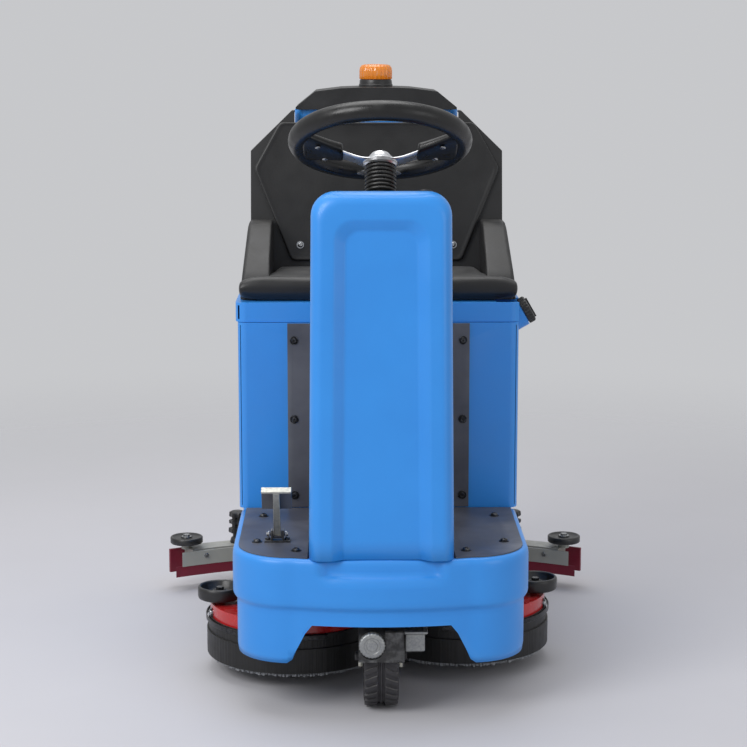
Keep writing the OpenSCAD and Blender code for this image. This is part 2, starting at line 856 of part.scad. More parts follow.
module deck_skirt() {
    color("#2b2b2b") placed() difference() {
        union() {
            bay_pair(shell_r + 4, deck_top - 64, deck_top - 30);
            bay_pair(skirt_r, bristle_z + 2, deck_top - 62);
        }
        bay_pair(shell_r, bristle_z - 10, deck_top);
    }
}

module brush_motors() {
    color("#4a4a4d") placed() {
        bay_pair(55, deck_top, deck_top + 118);
        bay_pair(62, deck_top, deck_top + 10);
        bay_pair(12, deck_top - 48, deck_top + 1);
    }
}

module brush(x, s) {
    placed() translate([x, s, 0]) difference() {
        union() {
            translate([0, 0, bristle_z + 50]) cylinder(r = brush_r - 8, h = 14);
            translate([0, 0, bristle_z + 60]) cylinder(r = 34, h = 18);
            difference() {
                translate([0, 0, bristle_z]) cylinder(r1 = brush_r, r2 = brush_r - 10, h = 51);
                translate([0, 0, bristle_z - 1]) cylinder(r = 62, h = 52);
            }
        }
        translate([0, 0, bristle_z - 10]) cylinder(r = 12 + run_fit, h = 100);
    }
}

module brush_left() {
    color("#6b7d8f") brush(-brush_x, brush_s);
}

module brush_right() {
    color("#6b7d8f") brush(brush_x, brush_back_s);
}

module bumper_roller(x, s) {
    r = bumper_d / 2;
    placed() translate([x, s, bumper_z]) difference() {
        union() {
            difference() {
                cylinder(r = r, h = 25);
                translate([0, 0, 5]) cylinder(r = r - 6, h = 25);
            }
            cylinder(r = 14, h = 13);
        }
        translate([0, 0, -1]) cylinder(r = 6 + run_fit, h = 30);
    }
}

module bumper_roller_left() {
    color(BLACK) bumper_roller(-bumper_x, brush_s - 30);
}

module bumper_roller_right() {
    color(BLACK) bumper_roller(bumper_x, brush_back_s - 30);
}

// ---- squeegee ----

module squeegee_yoke() {
    color(SLATE) placed() difference() {
        union() {
            post(0, swing_s, 193, 233, 24);
            box(-28, 28, swing_s + 4, lift_s - 14, 193, 217);
            both_sides() box(20, 28, swing_s + 10, lift_s + 12, 193, 217);
        }
        post(0, swing_s, 180, 240, swing_pin_r + run_fit);
        cross_bar(-40, 40, lift_s, lift_z, 7 + run_fit);
    }
}

module squeegee_arm() {
    spread = 150;
    reach_s = arc_s + sqrt(bar_mid_r * bar_mid_r - spread * spread);
    color(SLATE) placed() {
        cross_bar(-28, 28, lift_s, lift_z, 7);
        box(-18.5, 18.5, lift_s - 9, lift_s + 40, lift_z - 8, lift_z + 8);
        translate([0, 0, lift_z - 6]) linear_extrude(8) difference() {
            polygon([
                [-18, lift_s + 30], [18, lift_s + 30],
                [spread + 18, reach_s - 12], [spread + 18, reach_s + 14],
                [spread - 18, reach_s + 14], [0, lift_s + 120], [-spread + 18, reach_s + 14],
                [-spread - 18, reach_s + 14], [-spread - 18, reach_s - 12]
            ]);
        }
        both_sides() post(spread, reach_s, bar_z + bar_h, lift_z - 5, 11);
    }
}

// A curved strip that follows the squeegee's arc between two radii.
module arc_strip(r0, r1, half_x, z0, z1) {
    half_a = asin(half_x / r1);
    translate([0, arc_s, z0]) rotate([0, 0, 90 - half_a])
        rotate_extrude(angle = 2 * half_a, $fn = 240)
            translate([r0, 0]) square([r1 - r0, z1 - z0]);
}

module on_bar(x) {
    translate([x, arc_s + sqrt(bar_mid_r * bar_mid_r - x * x), 0]) children();
}

module squeegee_body() {
    color("#7d7f7b") placed() {
        difference() {
            arc_strip(squeegee_r - 62, squeegee_r - 8, bar_w / 2, bar_z, bar_z + bar_h);
            arc_strip(squeegee_r - 54, squeegee_r - 16, bar_w / 2 - 12, bar_z - 10, bar_z + bar_h - 5);
            on_bar(0) translate([0, 0, bar_z]) cylinder(r = spigot_r - 3, h = 60);
            for (x = [-knob_x, knob_x]) {
                on_bar(x) translate([0, 0, bar_z]) cylinder(r = 5.5, h = 60);
            }
        }
        on_bar(0) translate([0, 0, bar_z + bar_h - 1]) difference() {
            union() {
                cylinder(r = spigot_r, h = 72);
                cylinder(r = spigot_r + 8, h = 9);
            }
            translate([0, 0, -5]) cylinder(r = spigot_r - 3, h = 90);
        }
        for (x = [-roller_x, roller_x]) {
            on_bar(x) translate([0, 0, bar_z + bar_h - 1]) {
                cylinder(r = 14, h = 14);
                cylinder(r = 6, h = 30);
            }
        }
    }
}

module squeegee_blades() {
    color("#6e1b2e") placed() {
        arc_strip(squeegee_r - 8, squeegee_r, squeegee_w / 2, blade_z, bar_z + bar_h - 6);
        arc_strip(squeegee_r - 67, squeegee_r - 62, bar_w / 2 - 30, blade_z + 1, bar_z + bar_h - 10);
    }
}

module squeegee_roller(x) {
    placed() on_bar(x) translate([0, 0, bar_z + bar_h + 14]) difference() {
        union() {
            cylinder(r = roller_d / 2, h = 15);
            cylinder(r = 12, h = 17);
        }
        translate([0, 0, -1]) cylinder(r = 6 + run_fit, h = 30);
    }
}

module squeegee_roller_left() {
    color(BLACK) squeegee_roller(-roller_x);
}

module squeegee_roller_right() {
    color(BLACK) squeegee_roller(roller_x);
}

module squeegee_knob(x) {
    placed() on_bar(x) translate([0, 0, bar_z + bar_h + 0.3]) {
        cylinder(r1 = 18, r2 = 12, h = 14);
        translate([0, 0, 13]) cylinder(r = 11, h = 36);
        translate([0, 0, 40]) cylinder(r = 15, h = 12);
        translate([0, 0, 60]) for (a = [0, 90]) {
            rotate([0, 0, a]) translate([-18, -5, 0]) cube([36, 10, 25]);
        }
        translate([0, 0, 51]) cylinder(r = 12, h = 12);
        translate([0, 0, -20]) cylinder(r = 5, h = 21);
    }
}

module squeegee_knob_left() {
    color(BLACK) squeegee_knob(-knob_x);
}

module squeegee_knob_right() {
    color(BLACK) squeegee_knob(knob_x);
}

// ---- lower tank ----

module solution_tank() {
    w = body_hw;
    well_hw = 268;
    well_front = tank_s + 110;
    well_back = tank_back - 110;
    inner = w - tank_wall;
    floor_z = deck_z + tank_wall;
    well_floor = deck_z + 95 - tank_wall;
    color(BLUE) placed() difference() {
        union() {
            translate([0, 0, deck_z]) linear_extrude(split_z - deck_z)
                round_plan(-w, w, tank_s, tank_back, 22);
            both_sides() difference() {
                translate([0, 0, 230]) linear_extrude(deck_z - 230 + 1)
                    round_plan(w - 107, w, tank_s + 150, tank_back, 22);
                cross_bar(200, w + 10, rear_s, rear_r, arch_r);
            }
            both_sides() box(150, 190, tank_back - 6, tilt_pin_s + 3, split_z - 22, split_z - 1);
            both_sides() cross_bar(150, 190, tilt_pin_s, tilt_pin_z, 11);
            both_sides() box(150, 190, tilt_pin_s - 6, tilt_pin_s + 8, split_z - 22, tilt_pin_z);
            both_sides() cross_bar(110, 151, tilt_pin_s, tilt_pin_z, 5);
            on_filler() translate([0, 0, -50]) cylinder(r = filler_r + 6, h = 45);
            on_filler() translate([0, 0, -20]) cylinder(r = filler_r, h = 26);
        }
        box(-well_hw, well_hw, well_front, well_back, deck_z + 95, split_z + 5);
        box(-inner, inner, tank_s + tank_wall, well_front - tank_wall, floor_z, split_z - tank_wall);
        box(-inner, inner, well_front - tank_wall - 1, tank_back - tank_wall, floor_z, well_floor);
        on_filler() translate([0, 0, -60]) cylinder(r = filler_r - 5, h = 80);
        plate_bolt_grid() translate([0, 0, -12]) cylinder(r = 4.2, h = 20, $fn = 24);
    }
}

module filler_cap() {
    color(BLACK) placed() on_filler() difference() {
        union() {
            translate([0, 0, -4]) cylinder(r = filler_r + 5, h = 18);
            translate([0, 0, 14]) cylinder(r = 9, h = 20, $fn = 32);
            translate([-5, -filler_r, 13]) cube([10, 2 * filler_r, 8]);
        }
        translate([0, 0, -8]) cylinder(r = filler_r + 0.4, h = 14.4);
    }
}

module batteries() {
    cell_l = 240;
    cell_w = 178;
    floor_z = deck_z + 95;
    mid_s = (tank_s + tank_back) / 2;
    color("#2f3338") placed() for (i = [-1, 1]) for (j = [-1, 1]) {
        translate([i * (cell_l / 2 + 4), mid_s + j * (cell_w / 2 + 3), floor_z]) {
            translate([-cell_l / 2, -cell_w / 2, 0]) cube([cell_l, cell_w, 248]);
            for (k = [-1, 1]) {
                translate([k * 90, 0, 247]) cylinder(r = 9, h = 16, $fn = 32);
            }
        }
    }
}

// ---- upper tank, seat and lid ----

module recovery_tank() {
    w = body_hw + 5;
    wall = tank_wall;
    low = split_z + pass_gap;
    notch = filler_r + 14;
    notch_x = body_hw - 52;
    spigots = [[-70, rim_z - 80], [120, ledge_z + 40]];
    color(BLUE) placed() {
        difference() {
            union() {
                translate([0, 0, low]) linear_extrude(ledge_z - low)
                    round_plan(-w, w, tank_s + 4, recovery_back - 6, 26);
                translate([0, 0, low + 1]) linear_extrude(rim_z - low - 1)
                    round_plan(-recovery_hw, recovery_hw, recovery_front, recovery_back, 24);
                for (at = spigots) {
                    translate([at[0], recovery_back - 5, at[1]]) rotate([-90, 0, 0])
                        cylinder(r = spigot_r, h = 55);
                }
                both_sides() box(55, 88, recovery_back - 4, lid_pin_s + 2, rim_z - 24, rim_z);
                both_sides() cross_bar(55, 88, lid_pin_s, lid_pin_z, 8);
                both_sides() box(55, 88, lid_pin_s - 4, lid_pin_s + 6, rim_z - 24, lid_pin_z);
            }
            translate([0, 0, ledge_z]) linear_extrude(rim_z)
                round_plan(
                    -recovery_hw + wall, recovery_hw - wall,
                    recovery_front + wall, recovery_back - wall, 18
                );
            box(
                -w + wall, notch_x - wall, tank_s + 4 + wall, recovery_front - 4,
                low + wall, ledge_z - wall
            );
            for (at = spigots) {
                translate([at[0], recovery_back - 20, at[1]]) rotate([-90, 0, 0])
                    cylinder(r = spigot_r - 3, h = 80);
            }
            box(notch_x, w + 10, filler_s - notch, filler_s + notch, low - 5, ledge_z + 5);
            both_sides()
                box(149 - pass_gap, 192, tilt_pin_s - 20, tilt_pin_s + 40, split_z - 5, tilt_pin_z + 18);
            both_sides() box(60, 112, tilt_pin_s - 14, tilt_pin_s + 40, low - 5, low + 2);
            both_sides() cross_bar(100, 160, tilt_pin_s, tilt_pin_z, 5 + run_fit);
            both_sides() cross_bar(50, 125, lid_pin_s, lid_pin_z, 3 + run_fit);
        }
    }
}

// The backrest shell seen from the front.
module back_outline(inset) {
    top_hw = 206 - inset;
    hw = back_hw - inset;
    polygon([
        [-hw, seat_z - 40], [-hw, rim_z - 97], [-top_hw, shell_top_z - inset],
        [top_hw, shell_top_z - inset], [hw, rim_z - 97], [hw, seat_z - 40]
    ]);
}

module back_side(inset) {
    polygon([
        [back_foot_s + inset, ledge_z - inset], [back_foot_s + inset, seat_z],
        [back_top_s + inset, shell_top_z + 5], [recovery_front - 2, shell_top_z + 5],
        [recovery_front - 2, ledge_z - inset]
    ]);
}

module seat_shell() {
    wall = 5;
    pan_top = seat_z - 27;
    foot = ledge_z + 0.3;
    color(BLACK) placed() {
        difference() {
            intersection() {
                across(-back_hw - 5, back_hw + 5) back_side(0);
                along(back_foot_s - 20, recovery_front + 20) back_outline(0);
                box(-500, 500, 0, 2000, foot, 3000);
            }
            intersection() {
                across(-back_hw - 5, back_hw + 5) back_side(wall);
                along(back_foot_s - 20, recovery_front + 20) back_outline(wall);
                box(-500, 500, 0, 2000, foot - 5, 3000);
            }
        }
        translate([0, 0, foot]) linear_extrude(pan_top - foot)
            round_plan(-cushion_w, cushion_w, seat_front + 42, back_foot_s + 3, 12);
        both_sides() across(back_hw - bolster_w, back_hw) polygon([
            [seat_front + 44, pan_top - 1], [seat_front + 50, seat_z + 6], [back_foot_s - 110, seat_z + 92],
            [back_foot_s - 70, seat_z + 112], [back_foot_s + 1, seat_z + 112],
            [back_foot_s + 1, pan_top - 1]
        ]);
    }
}

module seat_cushion() {
    pan_top = seat_z - 27;
    roll = 20;
    color(BLACK) placed() {
        translate([0, 0, pan_top]) linear_extrude(seat_z - pan_top)
            round_plan(-cushion_hw, cushion_hw, seat_front + 30, back_foot_s - 14, 24);
        across(-cushion_w, cushion_w) polygon(concat(
            [[seat_front + 41, ledge_z + 1]],
            [[seat_front + 4, ledge_z + 1]],
            arc_points([seat_front + roll, seat_z - 6 - roll], roll, 200, 90, 6),
            [[seat_front + 41, seat_z - 6]]
        ));
    }
}

module on_back() {
    lean = atan((back_top_s - back_foot_s) / (shell_top_z + 5 - seat_z));
    translate([0, back_foot_s, seat_z]) rotate([-lean, 0, 0]) children();
}

module backrest_panel() {
    top_v = 346;
    mid_v = 236;
    color("#262626") placed() on_back() difference() {
        translate([0, -0.3, 0]) rotate([90, 0, 0]) linear_extrude(10)
            polygon([[-204, 26], [-292, mid_v], [-232, top_v], [232, top_v], [292, mid_v], [204, 26]]);
        for (x = [-185, 185]) {
            translate([x, -20, 52]) rotate([-90, 0, 0]) cylinder(r = 7, h = 12, $fn = 24);
        }
    }
}

module lid_outline(inset) {
    polygon([
        [-recovery_hw + 3 + inset, rim_z + 0.5], [-recovery_hw + 3 + inset, rim_z + 6],
        [-150 + inset, lid_z - 10 - inset], [-86, lid_z - 2 - inset],
        [-30, lid_z - inset], [30, lid_z - inset],
        [86, lid_z - 2 - inset], [150 - inset, lid_z - 10 - inset], [recovery_hw - 3 - inset, rim_z + 6],
        [recovery_hw - 3 - inset, rim_z + 0.5]
    ]);
}

module tank_lid() {
    color(BLACK) placed() difference() {
        union() {
            along(recovery_front - 16, recovery_back - 1) lid_outline(0);
            both_sides() cross_bar(89, 118, lid_pin_s, lid_pin_z, 8);
            both_sides() box(89, 118, recovery_back - 5, lid_pin_s, lid_pin_z - 7, lid_pin_z + 7);
            both_sides() cross_bar(58, 90, lid_pin_s, lid_pin_z, 3);
        }
        along(recovery_front - 10, recovery_back - 7) lid_outline(6);
        box(-recovery_hw, recovery_hw, recovery_front - 9.9, recovery_back - 7, rim_z - 5, rim_z + 6);
    }
}

module vacuum_motor() {
    x = 110;
    s = (recovery_front + recovery_back) / 2;
    color("#8b8d90") placed() {
        post(x, s, ledge_z, ledge_z + 20, 74);
        post(x, s, ledge_z + 19, ledge_z + 90, 70);
        post(x, s, ledge_z + 89, ledge_z + 160, 48);
    }
}

module beacon_base() {
    color(BLACK) placed() {
        post(0, beacon_s, lid_z, lid_z + 12, beacon_d / 2 + 2);
        post(0, beacon_s, lid_z + 11, lid_z + 18, beacon_d / 2 - 3);
    }
}

module beacon_lens() {
    r = beacon_d / 2;
    low = lid_z + 18;
    top = lid_z + beacon_h;
    color("#e08a1e") placed() translate([0, beacon_s, 0]) rotate_extrude() difference() {
        polygon([[0, low], [r, low], [r - 0.5, top - 14], [r - 6, top - 6], [r - 20, top - 1], [0, top]]);
        polygon([[-1, low - 1], [r - 4, low - 1], [r - 5, top - 16], [r - 22, top - 6], [-1, top - 5]]);
    }
}

main_frame();
solution_tank();
base_cowl();
front_tower();
control_panel();
footplates();
cover_bolts();
tank_front_plate();
batteries();
rear_axle();
column_boot();
pedal_bracket();
deck_actuator();
motor_controller();
steering_rim();
steering_spokes();
steering_shaft();
drive_fork();
drive_motor();
drive_housing();
brake_cover();
drive_rim();
drive_tyre();
rear_rim_left();
rear_tyre_left();
rear_rim_right();
rear_tyre_right();
accelerator_pedal();
ignition_key();
speed_knob();
emergency_stop();
horn_button();
direction_switch();
filler_cap();
deck_lower_arms();
deck_upper_link();
deck_actuator_rod();
deck_housing();
deck_skirt();
brush_motors();
brush_left();
brush_right();
bumper_roller_left();
bumper_roller_right();
squeegee_yoke();
squeegee_arm();
squeegee_body();
squeegee_blades();
squeegee_roller_left();
squeegee_roller_right();
squeegee_knob_left();
squeegee_knob_right();
recovery_tank();
seat_shell();
seat_cushion();
backrest_panel();
tank_lid();
vacuum_motor();
beacon_base();
beacon_lens();
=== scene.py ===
"""Ride-on floor scrubber: finished surfaces and detailed pieces over the engineering model.

All sizes in the classes are millimetres unless a name says otherwise. A "station" is a
distance behind the foremost plane of the machine. Left and right are as seen by someone
who faces the nose, so left is -X.
"""

import logging
import math
import random
from dataclasses import dataclass, field
from enum import Enum
from typing import Any, Callable, Iterable, Sequence

import bmesh
import bpy
from mathutils import Matrix, Vector


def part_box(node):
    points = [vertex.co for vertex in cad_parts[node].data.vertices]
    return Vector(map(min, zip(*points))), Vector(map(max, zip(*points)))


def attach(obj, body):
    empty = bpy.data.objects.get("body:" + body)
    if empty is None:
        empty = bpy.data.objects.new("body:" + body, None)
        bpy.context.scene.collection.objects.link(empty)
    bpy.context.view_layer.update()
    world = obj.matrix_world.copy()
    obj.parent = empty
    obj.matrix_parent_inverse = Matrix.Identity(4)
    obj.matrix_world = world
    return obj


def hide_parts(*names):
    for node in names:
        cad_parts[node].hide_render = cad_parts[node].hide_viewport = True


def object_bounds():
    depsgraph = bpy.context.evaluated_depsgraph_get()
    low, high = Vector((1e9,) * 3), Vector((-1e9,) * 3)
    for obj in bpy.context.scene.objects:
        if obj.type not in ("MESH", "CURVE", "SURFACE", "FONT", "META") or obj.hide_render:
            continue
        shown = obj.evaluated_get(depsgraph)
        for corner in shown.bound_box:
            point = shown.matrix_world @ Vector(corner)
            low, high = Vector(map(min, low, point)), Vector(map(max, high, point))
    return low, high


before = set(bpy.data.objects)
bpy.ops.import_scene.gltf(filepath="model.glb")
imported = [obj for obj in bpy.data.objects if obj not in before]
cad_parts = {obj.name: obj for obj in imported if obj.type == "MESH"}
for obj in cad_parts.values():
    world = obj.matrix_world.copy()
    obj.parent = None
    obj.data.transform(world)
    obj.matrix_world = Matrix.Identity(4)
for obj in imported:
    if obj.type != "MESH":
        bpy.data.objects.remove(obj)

LOG = logging.getLogger("scrubber")
MM = 0.001
TAU = 2.0 * math.pi
CAD_BOX = [list(corner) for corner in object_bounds()]
SIDES = (("left", -1.0), ("right", 1.0))
MERGE = 2e-5

Pair = tuple[float, float]
Triple = tuple[float, float, float]


# ---- measuring the frame ----


def box(node: str) -> tuple[Vector, Vector]:
    """Lowest and highest corner of a CAD node.

    Args:
        node: The CAD node's name.

    Returns:
        The two corners in millimetres.
    """
    low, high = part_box(node)
    return low / MM, high / MM


def station(x: float, s: float, z: float) -> Vector:
    """Turns across, station and height into the machine's frame.

    Args:
        x: Distance across, to the right.
        s: Distance behind the foremost plane.
        z: Height over the floor.

    Returns:
        The point in millimetres.
    """
    return Vector((x, s + CAD_BOX[0][1] / MM, z))


def leaning(origin: Vector, degrees: float) -> Matrix:
    """A frame whose Z leans towards the rear.

    Args:
        origin: Where the frame stands.
        degrees: How far its Z leans back.

    Returns:
        The frame as a matrix.
    """
    return Matrix.Translation(origin) @ Matrix.Rotation(-math.radians(degrees), 4, "X")


def lying(origin: Vector, turn: float = 0.0) -> Matrix:
    """A frame whose Z points along +X, for wheels.

    Args:
        origin: Where the frame stands.
        turn: Extra turn about that axis in degrees.

    Returns:
        The frame as a matrix.
    """
    spin = Matrix.Rotation(math.radians(turn), 4, "Z")
    return Matrix.Translation(origin) @ Matrix.Rotation(math.pi / 2, 4, "Y") @ spin


def polar(radius: float, turn: float, height: float = 0.0) -> Vector:
    """Returns the point at a radius, a turn in radians and a height."""
    return Vector((radius * math.cos(turn), radius * math.sin(turn), height))


def facing(at: Vector, way: Vector) -> Matrix:
    """Returns the frame that stands at a point with its Z along a way."""
    return Matrix.Translation(at) @ way.to_track_quat("Z", "Y").to_matrix().to_4x4()


def squared(value: float, power: float) -> float:
    """Returns a sine or cosine bulged towards its ends, which squares an oval."""
    return math.copysign(abs(value) ** power, value)


def shares(count: int) -> list[float]:
    """Returns the evenly spaced shares from 0 to 1 that bound this many spans."""
    return [k / count for k in range(count + 1)]


def smooth_step(low: float, high: float, value: float) -> float:
    """Rises softly from 0 at low to 1 at high.

    Args:
        low: Where the rise starts.
        high: Where the rise ends.
        value: What is looked up.

    Returns:
        A number from 0 to 1.
    """
    t = min(1.0, max(0.0, (value - low) / (high - low)))
    return t * t * (3.0 - 2.0 * t)


# ---- finishes ----


def linear(code: str) -> tuple[float, float, float, float]:
    """Turns an sRGB hex colour to linear.

    Args:
        code: The colour as "#rrggbb".

    Returns:
        Linear red, green and blue, with an alpha of 1.
    """
    parts = [int(code[i : i + 2], 16) / 255.0 for i in (1, 3, 5)]
    flat = [c / 12.92 if c <= 0.04045 else ((c + 0.055) / 1.055) ** 2.4 for c in parts]
    return flat[0], flat[1], flat[2], 1.0


def per_metre(size: float) -> float:
    """How often a pattern of this size repeats in a metre.

    Args:
        size: The pattern's size in millimetres.

    Returns:
        The scale that a texture node takes.
    """
    return 1000.0 / size


def add_node(
    tree: bpy.types.NodeTree,
    kind: str,
    settings: dict[str | int, Any],
    links: dict[str | int, bpy.types.NodeSocket] | None = None,
) -> bpy.types.Node:
    """Adds one node with its settings and links.

    Args:
        tree: The node tree.
        kind: The node's type.
        settings: Values for its sockets, by name or number, or for its properties.
        links: What is plugged into its sockets, by name or number.

    Returns:
        The new node.
    """
    node = tree.nodes.new(kind)
    for key, value in settings.items():
        if isinstance(key, int) or key in node.inputs:
            node.inputs[key].default_value = value
        else:
            setattr(node, key, value)
    for key, source in (links or {}).items():
        tree.links.new(source, node.inputs[key])
    return node


def noise(
    tree: bpy.types.NodeTree,
    place: bpy.types.NodeSocket,
    size: float,
    detail: float,
    roughness: float = 0.5,
) -> bpy.types.NodeSocket:
    """Adds a noise texture.

    Args:
        tree: The node tree.
        place: Coordinates that it follows.
        size: How large its blots are, in millimetres.
        detail: How many finer layers it has.
        roughness: How strong the finer layers are.

    Returns:
        Its value.
    """
    settings = {"Scale": per_metre(size), "Detail": detail, "Roughness": roughness}
    return add_node(tree, "ShaderNodeTexNoise", settings, {"Vector": place}).outputs[0]


def ramp(
    tree: bpy.types.NodeTree,
    value: bpy.types.NodeSocket,
    low: float,
    high: float,
    start: float = 0.0,
    end: float = 1.0,
) -> bpy.types.NodeSocket:
    """Maps a value to another range.

    Args:
        tree: The node tree.
        value: The value.
        low: Where the result starts to rise.
        high: Where the result is full.
        start: The result at low.
        end: The result at high.

    Returns:
        The result.
    """
    settings = {"From Min": low, "From Max": high, "To Min": start, "To Max": end}
    return add_node(tree, "ShaderNodeMapRange", settings, {"Value": value}).outputs[0]


def product(
    tree: bpy.types.NodeTree, one: bpy.types.NodeSocket, two: bpy.types.NodeSocket
) -> bpy.types.NodeSocket:
    """Returns two values multiplied."""
    return add_node(tree, "ShaderNodeMath", {"operation": "MULTIPLY"}, {0: one, 1: two}).outputs[0]


def tinted(
    tree: bpy.types.NodeTree,
    amount: bpy.types.NodeSocket,
    base: bpy.types.NodeSocket,
    code: str,
) -> bpy.types.NodeSocket:
    """Returns the base colour with some of another colour laid over it."""
    settings = {"data_type": "RGBA", 7: linear(code)}
    return add_node(tree, "ShaderNodeMix", settings, {0: amount, 6: base}).outputs[2]


def bump(
    tree: bpy.types.NodeTree, depth: float, links: dict[str, bpy.types.NodeSocket]
) -> bpy.types.NodeSocket:
    """Returns a normal that follows a height of this depth in millimetres."""
    settings = {"Distance": depth * MM, "Strength": 1.0}
    return add_node(tree, "ShaderNodeBump", settings, links).outputs[0]


class Grain(Enum):
    """What the fine relief of a surface looks like."""

    PEEL = "soft dimples of a powder coat or a mould"
    PEBBLE = "pebbled cells of a grained mould or of vinyl"
    BRUSHED = "fine lines round a turned or along a brushed part"
    RIBBED = "upright ribs of a rubber strip"


@dataclass(frozen=True)
class Finish:
    """A surface: what it is made of and how it was made."""

    name: str
    slot: str
    colour: str
    mottle: str
    roughness: float
    mottle_mm: float = 60.0
    mottle_share: float = 0.5
    rough_spread: float = 0.06
    grain: Grain = Grain.PEEL
    grain_mm: float = 2.0
    grain_depth: float = 0.05
    wave_mm: float = 0.0
    wave_depth: float = 0.0
    metallic: float = 0.0
    ior: float = 1.5
    coat: float = 0.0
    sheen: float = 0.0
    clear: float = 0.0
    # Strength of a painted glow: the surface gives off a faint light in its own colour, which no
    # lamp casts.
    painted_glow: float = 0.0
    dust: float = 0.0
    dust_colour: str = "#a9a7a2"
    wear: float = 0.0
    wear_colour: str = "#b0b2b4"
    fade_from: float = 0.0
    fade_to: float = 0.0

    def material(self) -> bpy.types.Material:
        """Returns the material, made the first time it is asked for."""
        made = bpy.data.materials.get(self.name)
        return made or self._make()

    def _make(self) -> bpy.types.Material:
        """Builds the node tree of the material and returns it."""
        made = bpy.data.materials.new(self.name)
        made.use_nodes = True
        made.diffuse_color = linear(self.colour)
        tree = made.node_tree
        tree.nodes.clear()
        place = add_node(tree, "ShaderNodeTexCoord", {}).outputs["Object"]
        shape = add_node(tree, "ShaderNodeNewGeometry", {})
        mottle = noise(tree, place, self.mottle_mm, 5.0, 0.6)
        colour = add_node(
            tree,
            "ShaderNodeMix",
            {"data_type": "RGBA", 6: linear(self.colour), 7: linear(self.mottle)},
            {0: ramp(tree, mottle, 0.35, 0.7, 0.0, self.mottle_share)},
        ).outputs[2]
        smudge = noise(tree, place, self.mottle_mm * 0.55, 4.0)
        smooth = max(0.02, self.roughness - self.rough_spread)
        dull = min(1.0, self.roughness + self.rough_spread)
        rough = ramp(tree, smudge, 0.3, 0.7, smooth, dull)
        if self.wear > 0.0:
            colour = self._worn(tree, shape, mottle, colour)
        if self.dust > 0.0:
            colour, rough = self._dusty(tree, shape, smudge, colour, rough)
        surface = add_node(
            tree,
            "ShaderNodeBsdfPrincipled",
            {
                "Metallic": self.metallic,
                "Coat Weight": self.coat,
                "Coat Roughness": 0.12,
                "Sheen Weight": self.sheen,
                "Transmission Weight": self.clear,
                # painted glow: faint light given off in the surface's own colour; only the amber
                # lens has it
                "Emission Strength": self.painted_glow,
                "Emission Color": linear(self.colour),
            },
            {"Base Color": colour, "Roughness": rough, "Normal": self._relief(tree, place)},
        )
        if self.metallic == 0.0:
            surface.inputs["IOR"].default_value = self.ior
        shown = surface.outputs[0]
        if self.fade_to > 0.0:
            shown = self._faded(tree, place, shown)
        add_node(tree, "ShaderNodeOutputMaterial", {}, {"Surface": shown})
        return made

    def _faded(
        self,
        tree: bpy.types.NodeTree,
        place: bpy.types.NodeSocket,
        surface: bpy.types.NodeSocket,
    ) -> bpy.types.NodeSocket:
        """Lets the surface thin out with its distance from the origin.

        Args:
            tree: The node tree.
            place: Object coordinates.
            surface: The shader so far.

        Returns:
            The new shader.
        """
        away = add_node(tree, "ShaderNodeVectorMath", {"operation": "LENGTH"}, {0: place})
        share = add_node(
            tree,
            "ShaderNodeMapRange",
            {
                "interpolation_type": "SMOOTHSTEP",
                "From Min": self.fade_from * MM,
                "From Max": self.fade_to * MM,
            },
            {"Value": away.outputs["Value"]},
        ).outputs[0]
        clear = add_node(tree, "ShaderNodeBsdfTransparent", {}).outputs[0]
        blend = add_node(tree, "ShaderNodeMixShader", {}, {0: share, 1: surface, 2: clear})
        return blend.outputs[0]

    def _relief(
        self, tree: bpy.types.NodeTree, place: bpy.types.NodeSocket
    ) -> bpy.types.NodeSocket:
        """Builds the bump chain.

        Args:
            tree: The node tree.
            place: Object coordinates.

        Returns:
            The normal that the surface takes.
        """
        if self.grain is Grain.PEEL:
            fine = noise(tree, place, self.grain_mm, 2.0)
        elif self.grain is Grain.PEBBLE:
            cells = {
                "Scale": per_metre(self.grain_mm),
                "feature": "SMOOTH_F1",
                "Smoothness": 0.6,
            }
            fine = add_node(tree, "ShaderNodeTexVoronoi", cells, {"Vector": place}).outputs[0]
        else:
            stretch = (1.0, 1.0, 0.04 if self.grain is Grain.BRUSHED else 0.02)
            drawn = add_node(tree, "ShaderNodeMapping", {"Scale": stretch}, {"Vector": place})
            fine = noise(tree, drawn.outputs[0], self.grain_mm, 1.0)
        normal = bump(tree, self.grain_depth, {"Height": fine})
        if self.wave_depth <= 0.0:
            return normal
        wave = noise(tree, place, self.wave_mm, 1.0)
        return bump(tree, self.wave_depth, {"Height": wave, "Normal": normal})

    def _worn(
        self,
        tree: bpy.types.NodeTree,
        shape: bpy.types.Node,
        breakup: bpy.types.NodeSocket,
        colour: bpy.types.NodeSocket,
    ) -> bpy.types.NodeSocket:
        """Rubs the finish along outer edges.

        Args:
            tree: The node tree.
            shape: The geometry node.
            breakup: Noise that breaks the wear up.
            colour: The colour so far.

        Returns:
            The new colour.
        """
        edge = ramp(tree, shape.outputs["Pointiness"], 0.51, 0.6)
        patchy = ramp(tree, breakup, 0.42, 0.62, 0.0, self.wear)
        return tinted(tree, product(tree, edge, patchy), colour, self.wear_colour)

    def _dusty(
        self,
        tree: bpy.types.NodeTree,
        shape: bpy.types.Node,
        breakup: bpy.types.NodeSocket,
        colour: bpy.types.NodeSocket,
        rough: bpy.types.NodeSocket,
    ) -> tuple[bpy.types.NodeSocket, bpy.types.NodeSocket]:
        """Lays a thin dust on faces that look up.

        Args:
            tree: The node tree.
            shape: The geometry node.
            breakup: Noise that breaks the dust up.
            colour: The colour so far.
            rough: The roughness so far.

        Returns:
            The new colour and roughness.
        """
        split = add_node(tree, "ShaderNodeSeparateXYZ", {}, {0: shape.outputs["Normal"]})
        up = ramp(tree, split.outputs[2], 0.4, 1.0)
        patchy = ramp(tree, breakup, 0.3, 0.75, 0.0, self.dust)
        amount = product(tree, up, patchy)
        duller = add_node(
            tree,
            "ShaderNodeMath",
            {"operation": "MULTIPLY_ADD", 1: 0.6, "use_clamp": True},
            {0: amount, 2: rough},
        )
        return tinted(tree, amount, colour, self.dust_colour), duller.outputs[0]


